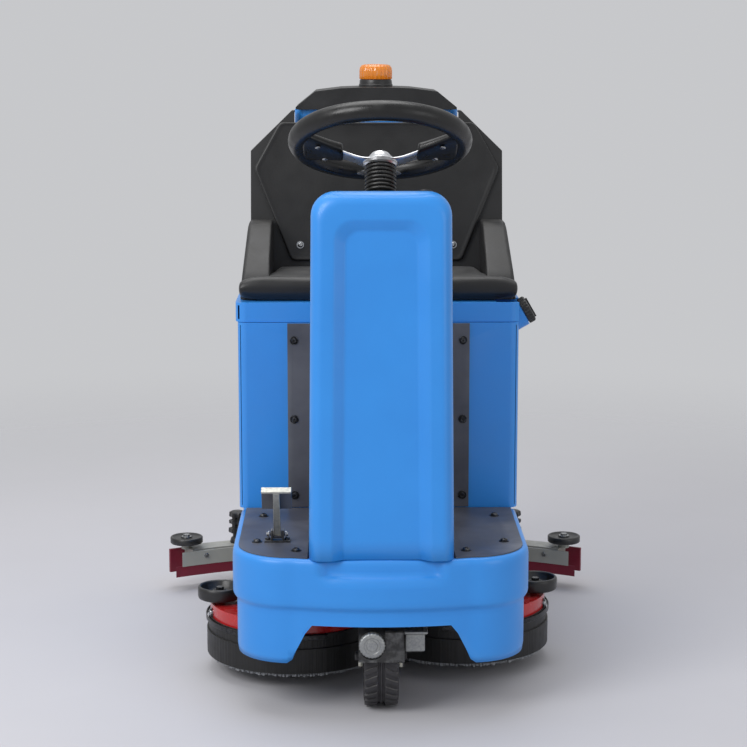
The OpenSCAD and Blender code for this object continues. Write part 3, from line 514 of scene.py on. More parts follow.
# Rotationally moulded polyethylene: the mould leaves a satin skin with slow waves.
POLYETHYLENE = Finish(
    "polyethylene_moulded_blue", "blue_moulding", "#2e8fe4", "#2986da", 0.38,
    mottle_mm=220.0, mottle_share=0.6, grain_mm=2.4, grain_depth=0.035,
    wave_mm=95.0, wave_depth=0.5, ior=1.51, coat=0.12, dust=0.06,
    dust_colour="#9dbce0", wear=0.18, wear_colour="#6fa6e6",
)  # fmt: skip
# Moulded ABS with a grained tool: broad dull highlights broken by fine pebbles.
ABS_GRAINED = Finish(
    "abs_grained_black", "black_moulding", "#0c0c0d", "#121213", 0.5,
    mottle_mm=90.0, grain=Grain.PEBBLE, grain_mm=1.6, grain_depth=0.09,
    wave_mm=120.0, wave_depth=0.3, ior=1.53, dust=0.12, wear=0.15,
    wear_colour="#4a4a4c",
)  # fmt: skip
# Moulded nylon of knobs and rollers: smoother, with handling marks.
NYLON = Finish(
    "nylon_moulded_black", "black_moulding", "#161617", "#1e1e1f", 0.38,
    mottle_mm=24.0, rough_spread=0.1, grain_mm=1.2, grain_depth=0.03, ior=1.53,
    dust=0.14, wear=0.2, wear_colour="#59595b",
)  # fmt: skip
# Skinned polyurethane foam: a vinyl-like pebbled skin with a soft sheen.
FOAM_SKIN = Finish(
    "polyurethane_skin_black", "seat_vinyl", "#0b0b0c", "#101011", 0.42,
    mottle_mm=70.0, grain=Grain.PEBBLE, grain_mm=2.2, grain_depth=0.12,
    wave_mm=80.0, wave_depth=0.6, ior=1.5, sheen=0.12, dust=0.1,
)  # fmt: skip
# The wheel's grip: soft polyurethane over steel, polished by hands.
GRIP = Finish(
    "polyurethane_grip_black", "grip_foam", "#0e0e0e", "#141414", 0.34,
    mottle_mm=40.0, rough_spread=0.1, grain=Grain.PEBBLE, grain_mm=1.3,
    grain_depth=0.05, ior=1.5, dust=0.1,
)  # fmt: skip
# Powder-coated sheet steel: slate, with an orange-peel skin and scuffs from shoes.
SLATE_COAT = Finish(
    "powder_coated_steel_slate", "plate_paint", "#45464e", "#4a4c55", 0.42,
    mottle_mm=320.0, rough_spread=0.1, grain_mm=1.8, grain_depth=0.07, ior=1.5,
    dust=0.08, dust_colour="#6a7085", wear=0.3,
)  # fmt: skip
# Black powder coat on welded frame parts.
FRAME_COAT = Finish(
    "powder_coated_steel_black", "frame_paint", "#1f1f21", "#28282a", 0.45,
    mottle_mm=45.0, grain_mm=1.8, grain_depth=0.08, dust=0.3, wear=0.35,
)  # fmt: skip
# Gloss enamel sprayed on the brush deck.
RED_ENAMEL = Finish(
    "enamel_sprayed_red", "red_paint", "#b8171a", "#a51215", 0.24,
    mottle_mm=40.0, grain_mm=2.6, grain_depth=0.03, coat=0.4, dust=0.1,
    wear=0.2, wear_colour="#6b3b3a",
)  # fmt: skip
# Grey enamel on the squeegee's bar, dulled by water marks.
GREY_ENAMEL = Finish(
    "enamel_sprayed_grey", "grey_paint", "#a3a39c", "#92938c", 0.4,
    mottle_mm=28.0, rough_spread=0.12, grain_mm=2.0, grain_depth=0.04, dust=0.2,
    wear=0.35, wear_colour="#c4c6c6",
)  # fmt: skip
# Blackened steel button heads.
BLACK_STEEL = Finish(
    "steel_blackened", "dark_bolts", "#2c2c2e", "#3a3a3c", 0.34, metallic=0.85,
    mottle_mm=6.0, grain=Grain.BRUSHED, grain_mm=0.9, grain_depth=0.015, wear=0.5,
)  # fmt: skip
# Turned steel of shafts, axles and bright bolts.
TURNED_STEEL = Finish(
    "steel_turned", "bare_steel", "#a9abad", "#8f9194", 0.28, metallic=1.0,
    mottle_mm=18.0, grain=Grain.BRUSHED, grain_mm=1.0, grain_depth=0.02,
)  # fmt: skip
# Galvanised strip: pale zinc with soft spangles.
ZINC = Finish(
    "steel_galvanised", "bare_steel", "#c3c1b6", "#a9a89e", 0.42, metallic=0.75,
    mottle_mm=9.0, mottle_share=0.8, rough_spread=0.12, grain_mm=1.6,
    grain_depth=0.03,
)  # fmt: skip
# Chromed pressed plate: near mirror, with faint polishing waves.
CHROME = Finish(
    "chrome_plated_steel", "bright_chrome", "#e6e7e9", "#dadcdf", 0.3, metallic=1.0,
    mottle_mm=30.0, rough_spread=0.04, grain_mm=3.0, grain_depth=0.01,
    wave_mm=22.0, wave_depth=0.15,
)  # fmt: skip
# Sand-cast aluminium: bright, rough and speckled.
CAST_ALUMINIUM = Finish(
    "aluminium_sand_cast", "cast_alloy", "#a6a8a6", "#84868a", 0.46, metallic=0.9,
    mottle_mm=5.0, mottle_share=0.8, grain_mm=1.4, grain_depth=0.16, dust=0.15,
)  # fmt: skip
# Painted iron castings round the drive and the motors.
DARK_CASTING = Finish(
    "iron_casting_painted", "dark_casting", "#1a1a1c", "#242426", 0.5,
    mottle_mm=14.0, grain_mm=1.6, grain_depth=0.16, dust=0.12, wear=0.3,
)  # fmt: skip
# Vulcanised solid tyres with a bloom of dust.
TYRE = Finish(
    "rubber_vulcanised_tyre", "tyre_rubber", "#2b2a2d", "#353438", 0.68,
    mottle_mm=30.0, rough_spread=0.1, grain_mm=1.4, grain_depth=0.1, ior=1.52,
    dust=0.35, wear=0.4, wear_colour="#5a585a",
)  # fmt: skip
# Extruded rubber of the skirt, ribbed along its height.
SKIRT_RUBBER = Finish(
    "rubber_extruded_black", "soft_rubber", "#0d0d0e", "#151516", 0.5,
    mottle_mm=35.0, grain=Grain.RIBBED, grain_mm=6.0, grain_depth=1.1, ior=1.52,
    dust=0.1,
)  # fmt: skip
# Moulded rubber of the bellows.
BOOT_RUBBER = Finish(
    "rubber_moulded_black", "soft_rubber", "#171717", "#202020", 0.3,
    mottle_mm=20.0, grain_mm=1.2, grain_depth=0.03, ior=1.52, dust=0.2,
)  # fmt: skip
# Natural rubber of the squeegee's blades, maroon.
BLADE_RUBBER = Finish(
    "rubber_natural_maroon", "red_rubber", "#7a1a30", "#651426", 0.45,
    mottle_mm=40.0, grain_mm=1.2, grain_depth=0.04, ior=1.52, dust=0.12,
)  # fmt: skip
# Extruded nylon bristle, pale, with dirty roots.
BRISTLE = Finish(
    "nylon_bristle_pale", "brush_fibre", "#a3a6aa", "#6d7278", 0.5, mottle_mm=7.0,
    mottle_share=0.9, grain=Grain.BRUSHED, grain_mm=0.8, grain_depth=0.05, ior=1.53,
)  # fmt: skip
# Polypropylene disc that carries the bristles.
BRUSH_DISC = Finish(
    "polypropylene_blue_grey", "brush_fibre", "#4d6277", "#57708a", 0.45,
    mottle_mm=30.0, grain_mm=1.6, grain_depth=0.05, ior=1.49, dust=0.2,
)  # fmt: skip
# Polypropylene battery cases.
BATTERY = Finish(
    "polypropylene_battery", "battery_case", "#2b2f35", "#343941", 0.42,
    mottle_mm=60.0, grain=Grain.PEBBLE, grain_mm=1.8, grain_depth=0.08, ior=1.49,
    dust=0.3,
)  # fmt: skip
# Glossy acrylic push button.
RED_ACRYLIC = Finish(
    "acrylic_gloss_red", "red_button", "#c4161b", "#b01216", 0.14, mottle_mm=20.0,
    rough_spread=0.04, grain_mm=3.0, grain_depth=0.01, ior=1.49, coat=0.4,
)  # fmt: skip
# Clear amber polycarbonate over a lamp. Painted glow: the lens gives off a faint light in its own
# amber, with no lamp lit behind it.
AMBER = Finish(
    "polycarbonate_amber", "amber_lens", "#f0921c", "#e07c12", 0.1, mottle_mm=14.0,
    rough_spread=0.04, grain_mm=4.0, grain_depth=0.02, ior=1.58, coat=0.5,
    clear=0.35, painted_glow=0.05,
)  # fmt: skip
# Plain matt floor of a studio.
FLOOR = Finish(
    "floor_matt_grey", "stage", "#c4c3c7", "#bebdc1", 0.75, mottle_mm=900.0,
    grain_mm=3.0, grain_depth=0.05, fade_from=1100.0, fade_to=4200.0,
)  # fmt: skip


# ---- shapes ----


@dataclass
class Shape:
    """A mesh under construction, in millimetres."""

    points: list[Vector] = field(default_factory=list)
    faces: list[tuple[int, ...]] = field(default_factory=list)

    def ring(self, points: Iterable[Vector]) -> list[int]:
        """Adds points.

        Args:
            points: Where they stand.

        Returns:
            Their numbers.
        """
        first = len(self.points)
        self.points.extend(Vector(p) for p in points)
        return list(range(first, len(self.points)))

    def skin(self, one: Sequence[int], two: Sequence[int], closed: bool = True) -> None:
        """Joins two rings with quads.

        Args:
            one: Numbers of the first ring.
            two: Numbers of the second ring.
            closed: Whether the rings run all the way round.
        """
        count = len(one)
        for i in range(count if closed else count - 1):
            j = (i + 1) % count
            self.faces.append((one[i], one[j], two[j], two[i]))

    def loft(
        self,
        rings: Sequence[Sequence[Vector]],
        closed: bool = True,
        caps: bool = False,
    ) -> list[list[int]]:
        """Skins a row of rings.

        Args:
            rings: The rings in order, with the same number of points each.
            closed: Whether the rings run all the way round.
            caps: Whether the first and the last ring are filled.

        Returns:
            The numbers of each ring.
        """
        made = [self.ring(points) for points in rings]
        for one, two in zip(made, made[1:]):
            self.skin(one, two, closed)
        if caps:
            self.faces.append(tuple(reversed(made[0])))
            self.faces.append(tuple(made[-1]))
        return made

    def ladder(self, ring: Sequence[int]) -> None:
        """Fills an arch-shaped ring with quads from its left to its right side.

        Args:
            ring: Numbers of the arch, from the left foot to the right foot.
        """
        last = len(ring) - 1
        for i in range(last // 2):
            quad = (ring[i], ring[i + 1], ring[last - i - 1], ring[last - i])
            if quad[1] == quad[2]:
                quad = quad[:2] + quad[3:]
            self.faces.append(quad)

    def lathe(
        self,
        place: Matrix,
        profile: Sequence[Pair],
        steps: int = 72,
        wobble: Callable[[float, float], float] | None = None,
    ) -> None:
        """Turns a profile round the place's Z.

        Args:
            place: The frame it stands in.
            profile: Radius and height of each point, in order.
            steps: How many points round.
            wobble: Extra radius for an angle and a height, if any.
        """
        rings = []
        for radius, height in profile:
            row = []
            for k in range(steps):
                a = TAU * k / steps
                r = radius + (wobble(a, height) if wobble else 0.0)
                row.append(place @ polar(r, a, height))
            rings.append(row)
        made = [self.ring(row) for row in rings]
        for one, two in zip(made, made[1:]):
            self.skin(one, two)
        if profile[0][0] > 0.01 and profile[0] != profile[-1]:
            self.faces.append(tuple(reversed(made[0])))
        if profile[-1][0] > 0.01 and profile[0] != profile[-1]:
            self.faces.append(tuple(made[-1]))

    def slab(
        self, place: Matrix, outline: Sequence[Pair], low: float, high: float
    ) -> None:
        """Raises an outline along the place's Z.

        Args:
            place: The frame it stands in.
            outline: Its corners in order.
            low: Height of its underside.
            high: Height of its top.
        """
        rings = [
            [place @ Vector((x, y, z)) for x, y in outline] for z in (low, high)
        ]
        self.loft(rings, caps=True)

    def block(self, place: Matrix, low: Sequence[float], high: Sequence[float]) -> None:
        """Adds a block.

        Args:
            place: The frame it stands in.
            low: Its lowest corner.
            high: Its highest corner.
        """
        outline = [
            (low[0], low[1]), (high[0], low[1]), (high[0], high[1]), (low[0], high[1]),
        ]  # fmt: skip
        self.slab(place, outline, low[2], high[2])

    def piece(
        self,
        name: str,
        body: str,
        finish: Finish,
        bevel: float = 0.0,
        thickness: float = 0.0,
        rounds: int = 0,
        sharp: float = 40.0,
        stands_for: Sequence[str] = (),
    ) -> bpy.types.Object:
        """Makes the object and lets it ride its body.

        Args:
            name: The new object's name.
            body: The CAD body it moves with, or nothing for a stage piece.
            finish: Its surface.
            bevel: Width of rounded edges.
            thickness: Wall laid inwards, if it is a skin.
            rounds: Levels of subdivision.
            sharp: Edges bent by more than this many degrees stay crisp.
            stands_for: CAD nodes it takes the place of.

        Returns:
            The object.
        """
        mesh = bpy.data.meshes.new(name)
        work = bmesh.new()
        made = [work.verts.new(p * MM) for p in self.points]
        for face in self.faces:
            corners = [made[i] for i in dict.fromkeys(face)]
            if len(corners) > 2:
                try:
                    work.faces.new(corners)
                except ValueError:
                    continue
        bmesh.ops.remove_doubles(work, verts=work.verts, dist=MERGE)
        bmesh.ops.recalc_face_normals(work, faces=work.faces)
        for face in work.faces:
            face.smooth = True
        for edge in work.edges:
            if len(edge.link_faces) == 2:
                bent = edge.calc_face_angle(0.0)
                edge.smooth = bent < math.radians(sharp)
        work.to_mesh(mesh)
        work.free()
        made_object = bpy.data.objects.new(name, mesh)
        bpy.context.scene.collection.objects.link(made_object)
        mesh.materials.append(finish.material())
        if thickness:
            wall = made_object.modifiers.new("wall", "SOLIDIFY")
            wall.thickness = thickness * MM
            wall.offset = -1.0
        if rounds:
            soft = made_object.modifiers.new("rounding", "SUBSURF")
            soft.levels = soft.render_levels = rounds
        if bevel:
            add_bevel(made_object, bevel)
        if body:
            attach(made_object, body)
            if stands_for:
                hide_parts(*stands_for)
        LOG.info("made %s", name)
        return made_object


def add_bevel(target: bpy.types.Object, width: float, segments: int = 3) -> None:
    """Rounds an object's edges.

    Args:
        target: The object.
        width: The bevel's width in millimetres.
        segments: How many faces the round has.
    """
    edge = target.modifiers.new("edge_rounding", "BEVEL")
    edge.width = width * MM
    edge.segments = segments
    edge.limit_method = "ANGLE"
    edge.angle_limit = math.radians(32)
    edge.harden_normals = False
    edge.miter_outer = "MITER_ARC"
    normals = target.modifiers.new("shading", "WEIGHTED_NORMAL")
    normals.keep_sharp = False


def refine(node: str, finish: Finish, bevel: float = 1.2) -> None:
    """Gives a CAD node rounded edges and its surface.

    Args:
        node: The CAD node's name.
        finish: Its surface.
        bevel: Width of the rounded edges in millimetres.
    """
    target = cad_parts[node]
    target.data.materials.clear()
    target.data.materials.append(finish.material())
    for face in target.data.polygons:
        face.use_smooth = True
    weld = target.modifiers.new("weld", "WELD")
    weld.merge_threshold = MERGE
    flat = target.modifiers.new("flat_faces", "DECIMATE")
    flat.decimate_type = "DISSOLVE"
    flat.angle_limit = math.radians(0.8)
    add_bevel(target, bevel, 3 if bevel > 2.0 else 2)


def hexagon(radius: float) -> list[Pair]:
    """Returns the corners of a hexagon of this radius."""
    turns = [TAU * k / 6 for k in range(6)]
    return [(radius * math.cos(a), radius * math.sin(a)) for a in turns]


def oval(place: Matrix, rx: float, ry: float, steps: int = 48) -> list[Vector]:
    """Points round an ellipse.

    Args:
        place: The frame it lies in.
        rx: Its half size along X.
        ry: Its half size along Y.
        steps: How many points.

    Returns:
        The points.
    """
    turns = [TAU * k / steps for k in range(steps)]
    return [place @ Vector((rx * math.cos(a), ry * math.sin(a), 0.0)) for a in turns]


@dataclass
class Bolt:
    """A round-headed or hexagon-headed screw with its washer."""

    radius: float
    height: float
    finish: Finish = TURNED_STEEL
    hexagonal: bool = False
    washer: float = 0.0

    def build(self, name: str, body: str, place: Matrix) -> bpy.types.Object:
        """Makes one screw head whose Z leaves the surface.

        Args:
            name: The object's name.
            body: The CAD body it moves with.
            place: Where its head sits.

        Returns:
            The object.
        """
        shape = Shape()
        foot = 0.0
        if self.washer:
            foot = 1.4
            flat = [(0.0, -0.6), (self.washer, -0.6), (self.washer, foot), (0.0, foot)]
            shape.lathe(place, flat, 36)
        if self.hexagonal:
            shape.slab(place, hexagon(self.radius), foot - 0.4, foot + self.height)
        else:
            r, h = self.radius, self.height
            shape.lathe(
                place,
                [
                    (0.0, foot - 0.6), (r * 0.96, foot - 0.6), (r, foot + h * 0.2),
                    (r * 0.93, foot + h * 0.55), (r * 0.72, foot + h * 0.88),
                    (r * 0.46, foot + h), (r * 0.44, foot + h * 0.98),
                    (r * 0.4, foot + h * 0.45), (0.0, foot + h * 0.45),
                ],
                36,
            )  # fmt: skip
        return shape.piece(name, body, self.finish, bevel=0.5, sharp=50)


# ---- the room ----


@dataclass
class Studio:
    """A pale floor, soft lights and the camera."""

    floor_radius: float = 4300.0
    camera_place: Triple = (-64.0, -4600.0, 1412.0)
    camera_tilt: float = 80.5
    camera_turn: float = -0.67
    lens: float = 95.8

    def build(self) -> None:
        """Sets the room up."""
        self._floor()
        self._world()
        self._light("key", (-2800, -3000, 3300), 2400, 118, (0, 100, 600))
        self._light("top", (-300, 500, 3900), 2600, 62, (0, 200, 500))
        self._light("fill", (3200, -3200, 1500), 2200, 16, (0, 200, 600))
        self._camera()
        scene = bpy.context.scene
        scene.view_settings.view_transform = "Standard"
        scene.view_settings.look = "None"

    def _floor(self) -> None:
        """Lays the floor as a wide disc."""
        shape = Shape()
        flat = Matrix.Translation((0.0, 0.0, -0.4))
        rings = [oval(flat, r, r, 96) for r in (4.0, 1500.0, self.floor_radius)]
        shape.loft(rings)
        shape.piece("studio_floor", "", FLOOR)

    def _world(self) -> None:
        """Makes the pale surroundings."""
        world = bpy.data.worlds.new("studio_surroundings")
        bpy.context.scene.world = world
        world.use_nodes = True
        tree = world.node_tree
        tree.nodes.clear()
        back = add_node(
            tree,
            "ShaderNodeBackground",
            {"Color": linear("#dcdde0"), "Strength": 0.8},
        )
        add_node(tree, "ShaderNodeOutputWorld", {}, {"Surface": back.outputs[0]})

    def _light(
        self,
        name: str,
        at: Triple,
        size: float,
        power: float,
        target: Triple,
    ) -> None:
        """Hangs one soft light.

        Args:
            name: The light's name.
            at: Where it hangs.
            size: Its side length.
            power: Its power in watts.
            target: Where it points.
        """
        data = bpy.data.lights.new(name, "AREA")
        data.energy = power
        data.size = size * MM
        lamp = bpy.data.objects.new(name, data)
        bpy.context.scene.collection.objects.link(lamp)
        lamp.location = Vector(at) * MM
        way = Vector(target) - Vector(at)
        lamp.rotation_euler = way.to_track_quat("-Z", "Y").to_euler()

    def _camera(self) -> None:
        """Stands the camera in front of the nose."""
        data = bpy.data.cameras.new("camera")
        data.lens = self.lens
        data.sensor_width = 36.0
        camera = bpy.data.objects.new("camera", data)
        bpy.context.scene.collection.objects.link(camera)
        camera.location = Vector(self.camera_place) * MM
        camera.rotation_euler = (
            math.radians(self.camera_tilt),
            0.0,
            math.radians(self.camera_turn),
        )
        bpy.context.scene.camera = camera


# ---- the machine ----


def arch(
    half: Callable[[float], float],
    foot: float,
    top: float,
    radius: float,
    depth: Callable[[float], float],
    steps: int = 16,
) -> list[Vector]:
    """An arch-shaped ring, from its left foot over its top to its right foot.

    Args:
        half: Half width at a height.
        foot: Height of its feet.
        top: Height of its top.
        radius: Radius of its two top corners.
        depth: Station at a height.
        steps: How many spans each side has.

    Returns:
        The points.
    """
    side = [
        (-half(z), z)
        for z in (foot + (top - radius - foot) * i / steps for i in range(steps + 1))
    ]
    edge = half(top - radius)
    for i in range(1, 9):
        a = math.pi / 2 * i / 8
        lean = half(top) - edge
        side.append(
            (
                -edge - lean * math.sin(a) + radius * (1 - math.cos(a)),
                top - radius + radius * math.sin(a),
            )
        )
    flat = side[-1][0]
    side += [(flat * (1 - i / 4), top) for i in range(1, 5)]
    both = side + [(-x, z) for x, z in reversed(side[:-1])]
    return [station(x, depth(z), z) for x, z in both]


@dataclass
class Tower:
    """The upright front housing under the steering wheel."""

    foot: float = 345.6
    top: float = 1108.0
    foot_half: float = 152.0
    top_half: float = 145.0
    front_foot: float = 6.0
    front_top: float = 52.0
    back_foot: float = 278.0
    back_top: float = 300.0
    dash_start: float = 80.0
    dash_slope: float = 24.0
    corner: float = 50.0
    round_depth: float = 34.0
    dash_half: float = 100.0
    dash_stations: Pair = (104.0, 282.0)
    dash_foot: float = 990.0

    def front(self, z: float) -> float:
        """Returns the station of the front face at a height."""
        share = (z - self.foot) / (self.top - self.foot)
        return self.front_foot + (self.front_top - self.front_foot) * share

    def back(self, z: float) -> float:
        """Returns the station of the back face at a height."""
        share = min(1.0, (z - self.foot) / (980.0 - self.foot))
        return self.back_foot + (self.back_top - self.back_foot) * share

    def half(self, z: float) -> float:
        """Returns half the width at a height."""
        share = (z - self.foot) / (self.top - self.foot)
        return self.foot_half + (self.top_half - self.foot_half) * share

    def _front_ring(
        self, inset_x: float, inset_z: float, radius: float, depth: float
    ) -> list[Vector]:
        """One arch of the front face.

        Args:
            inset_x: How far it is in from the sides.
            inset_z: How far it is in from the top.
            radius: Its corner radius.
            depth: How far it lies behind the front plane.

        Returns:
            The points.
        """
        return arch(
            lambda z: self.half(z) - inset_x,
            self.foot,
            self.top - inset_z,
            radius,
            lambda z: self.front(z) + depth,
        )

    def _side_ring(self, share: float, inset: float, ahead: float) -> list[Vector]:
        """One arch round the sides.

        Args:
            share: 0 at the front edge and 1 at the back.
            inset: How far it is in from the outside.
            ahead: How far it lies before the back plane.

        Returns:
            The points.
        """
        slope = math.tan(math.radians(self.dash_slope))
        start = self.front(self.top) + self.round_depth
        reach = start + (self.back_top - ahead - start) * share
        high = self.top - max(0.0, reach - self.dash_start) * slope - inset

        def depth(z: float) -> float:
            """Returns the station at a height."""
            begin = self.front(z) + self.round_depth
            return begin + (self.back(z) - ahead - begin) * share

        radius = self.corner + (24.0 - self.corner) * share
        return arch(lambda z: self.half(z) - inset, self.foot, high, radius, depth)

    def build(self) -> None:
        """Makes the housing's shell with its recessed front panel."""
        shape = Shape()
        rings = [
            self._front_ring(76, 84, 28, 15.0),
            self._front_ring(72, 80, 30, 14.8),
            self._front_ring(69, 77, 32, 13.2),
            self._front_ring(52, 60, 40, 2.2),
            self._front_ring(48, 56, 42, 0.5),
            self._front_ring(45, 53, 43, 0.0),
            self._front_ring(27, 27, 46, 0.0),
        ]
        for k in range(9):
            a = math.pi / 2 * k / 8
            inset = 24.0 * (1 - math.sin(a))
            depth = self.round_depth * (1 - math.cos(a))
            rings.append(self._front_ring(inset, inset, 50 - inset * 0.2, depth))
        rings += [self._side_ring(w / 10, 0.0, 8.0) for w in range(1, 11)]
        rings += [self._side_ring(1.0, 2.4, 2.4), self._side_ring(1.0, 8.0, 0.0)]
        made = shape.loft(rings, closed=False)
        shape.ladder(made[0])
        shape.ladder(list(reversed(made[-1])))
        shape.faces = [f for f in shape.faces if not self._in_opening(shape, f)]
        shape.piece(
            "tower_shell",
            "chassis",
            POLYETHYLENE,
            thickness=4.0,
            sharp=55,
            stands_for=["front_tower"],
        )

    def _in_opening(self, shape: Shape, face: tuple[int, ...]) -> bool:
        """Tells whether a face lies where the dashboard's opening is.

        Args:
            shape: The shell under construction.
            face: The face.

        Returns:
            True if the face is left out.
        """
        middle = sum((shape.points[i] for i in face), Vector()) / len(face)
        ahead = middle.y - CAD_BOX[0][1] / MM
        first, last = self.dash_stations
        return abs(middle.x) < self.dash_half and first < ahead < last and middle.z > self.dash_foot


@dataclass
class Cowl:
    """The low blue apron round the front wheel."""

    half: float = 318.0
    corner: float = 130.0
    bow: float = 24.0
    back: float = 478.0
    skirt_back: float = 165.0
    rows: tuple[Pair, ...] = (
        (34.0, 339.0), (20.0, 344.5), (12.5, 345.2), (8.0, 344.6), (4.0, 342.5),
        (1.6, 338.0), (0.4, 332.0), (0.0, 322.0), (0.0, 314.0), (0.0, 309.0),
        (0.0, 303.0), (0.0, 285.0), (0.0, 262.0), (0.0, 250.0), (1.0, 245.0),
        (4.0, 240.0), (7.5, 236.5), (9.0, 230.0), (9.0, 220.0), (9.0, 207.0),
        (9.0, 190.0), (9.0, 170.0), (9.0, 150.0), (9.2, 132.0),
    )  # fmt: skip

    def path(self) -> list[tuple[float, float, float, float]]:
        """The outline from the left back round the front to the right back.

        Returns:
            For each point its place across, its station and its outward way.
        """
        stations = (self.back, 400, 320, 250, 200, 172, 166, 158)
        side = [(-self.half, s, -1.0, 0.0) for s in stations]
        arc = []
        for k in range(17):
            a = math.pi / 2 * k / 16
            x = -self.half + self.corner * (1 - math.cos(a))
            s = self.bow + self.corner * (1 - math.sin(a))
            arc.append((x, s, -math.cos(a), -math.sin(a)))
        flat_half = self.half - self.corner
        front = []
        for k in range(1, 14):
            x = -flat_half + flat_half * k / 13
            s = self.bow * (x / flat_half) ** 2
            front.append((x, s, x / flat_half * -0.2, -1.0))
        left = side + arc + front
        return left + [(-x, s, -nx, ns) for x, s, nx, ns in reversed(left[:-1])]

    def edge(self, x: float, s: float) -> float:
        """How low the skirt reaches.

        Args:
            x: Place across.
            s: Station.

        Returns:
            The height of its lower edge.
        """
        if s > self.skirt_back:
            return 240.5
        return 203.0 - 85.0 * min(1.0, max(0.0, (abs(x) - 150.0) / 42.0))

    def build(self) -> None:
        """Makes the apron's shell and its hand recess."""
        shape = Shape()
        path = self.path()
        rows = []
        for inset, z in self.rows:
            ring = []
            for x, s, nx, ns in path:
                low = self.edge(x, s)
                at = max(z, low)
                within = smooth_step(132.0, 112.0, abs(x)) if s < 60 else 0.0
                deeper = inset + within * 15.0 * smooth_step(304.0, 314.0, z)
                ring.append(station(x - nx * deeper, s - ns * deeper, at))
            rows.append(ring)
        tucked = []
        for x, s, nx, ns in path:
            low = self.edge(x, s)
            tucked.append(station(x - nx * 11.5, s - ns * 11.5, low - 0.5))
        rows.append(tucked)
        shape.loft(rows, closed=False)
        shape.piece(
            "cowl_shell",
            "chassis",
            POLYETHYLENE,
            thickness=4.5,
            sharp=60,
            stands_for=["base_cowl"],
        )


@dataclass
class SteeringColumn:
    """The steering wheel, its spokes and the bellows under it."""

    foot: Triple = (0.0, 260.0, 1200.0)
    lean: float = -24.0
    boot_low: float = -118.0
    boot_top: float = -58.0
    boot_radius: float = 34.0
    plate_reach: float = 96.0
    rim_radius: float = 175.0
    grip: float = 21.5

    @property
    def place(self) -> Matrix:
        """The column's frame: Z up the column and Y towards the driver."""
        tilt = Matrix.Rotation(math.radians(self.lean), 4, "X")
        return Matrix.Translation(station(*self.foot)) @ tilt

    def build(self) -> None:
        """Makes every part of the column."""
        self._rim()
        self._plate()
        self._lobes()
        self._boot()

    def _rim(self) -> None:
        """Makes the padded rim with a round section."""
        shape = Shape()
        rings = []
        for k in range(128):
            out = polar(1.0, TAU * k / 128)
            ring = []
            for j in range(24):
                b = TAU * j / 24
                r = self.rim_radius + self.grip * math.cos(b)
                ring.append(self.place @ (out * r + Vector((0, 0, self.grip * math.sin(b)))))
            rings.append(ring)
        made = [shape.ring(r) for r in rings]
        for one, two in zip(made, made[1:] + made[:1]):
            shape.skin(one, two)
        shape.piece("steering_grip", "steering_wheel", GRIP, stands_for=["steering_rim"])

    def _plate(self) -> None:
        """Makes the pressed, dished spoke plate with its rounded hub."""
        shape = Shape()
        reach = self.plate_reach
        steps = 40
        for way in (176.0, 4.0, 90.0):
            turn = Matrix.Rotation(math.radians(way), 4, "Z")
            far = reach if way != 90.0 else 158.0
            rings = []
            for k in range(steps + 1):
                u = 14.0 + (far - 14.0) * k / steps
                wide = 24.0 + 9.0 * abs((u - 62.0) / 48.0) ** 1.6
                high = -47.0 + 24.0 * smooth_step(18.0, 104.0, u)
                high += 8.0 * smooth_step(100.0, 160.0, u)
                section = []
                for j in range(20):
                    b = TAU * j / 20
                    y = wide * squared(math.cos(b), 0.5)
                    z = 3.2 * squared(math.sin(b), 0.8)
                    section.append(self.place @ turn @ Vector((u, y, high + z)))
                rings.append(section)
            shape.loft(rings, caps=True)
        shape.lathe(
            self.place,
            [
                (0.0, -56.0), (33.0, -56.0), (36.5, -53.0), (36.5, -46.0), (32.0, -41.0),
                (26.0, -38.0), (23.0, -33.0), (18.0, -27.0), (0.0, -25.5),
            ],
        )  # fmt: skip
        shape.piece(
            "steering_plate",
            "steering_wheel",
            CHROME,
            stands_for=["steering_spokes"],
        )

    def _lobes(self) -> None:
        """Makes the moulded covers between the plate and the rim, with their bolts."""
        for name, mirror in SIDES:
            shape = Shape()
            rings = []
            for k in range(14):
                t = k / 13
                u = 78.0 + 90.0 * t
                wide = 32.0 + 50.0 * t**1.3
                back = 4.0 * t
                section = []
                for j in range(24):
                    b = TAU * j / 24
                    y = wide * squared(math.cos(b), 0.6) + back
                    z = 13.0 * squared(math.sin(b), 0.7)
                    bend = u * u + y * y
                    limit = (self.rim_radius - 2.0) ** 2
                    grow = math.sqrt(limit / bend) if bend > limit else 1.0
                    at = Vector((mirror * u * grow, y * grow, -24.0 + 18.0 * t + z))
                    section.append(self.place @ at)
                rings.append(section)
            shape.loft(rings, caps=True)
            shape.piece(f"steering_lobe_{name}", "steering_wheel", GRIP, rounds=1)
            for number, (u, y) in enumerate(((132.0, -38.0), (118.0, 30.0))):
                at = self.place @ Matrix.Translation((mirror * u, y, -28.0))
                at = at @ Matrix.Rotation(math.pi, 4, "X")
                Bolt(6.0, 3.0).build(f"lobe_bolt_{name}_{number}", "steering_wheel", at)

    def _boot(self) -> None:
        """Makes the bellows between the dashboard and the wheel."""
        profile: list[Pair] = [(20.0, self.boot_low)]
        folds = 7
        pitch = (self.boot_top - self.boot_low) / folds
        for k in range(folds):
            for j in range(12):
                t = j / 12
                swell = abs(math.sin(math.pi * t)) ** 0.55
                low = self.boot_low + pitch * (k + t)
                profile.append((self.boot_radius - 5.0 + 4.8 * swell, low))
        profile += [(self.boot_radius - 5.0, self.boot_top), (20.0, self.boot_top)]
        shape = Shape()
        shape.lathe(self.place, profile)
        shape.piece("bellows", "chassis", BOOT_RUBBER, sharp=75, stands_for=["column_boot"])


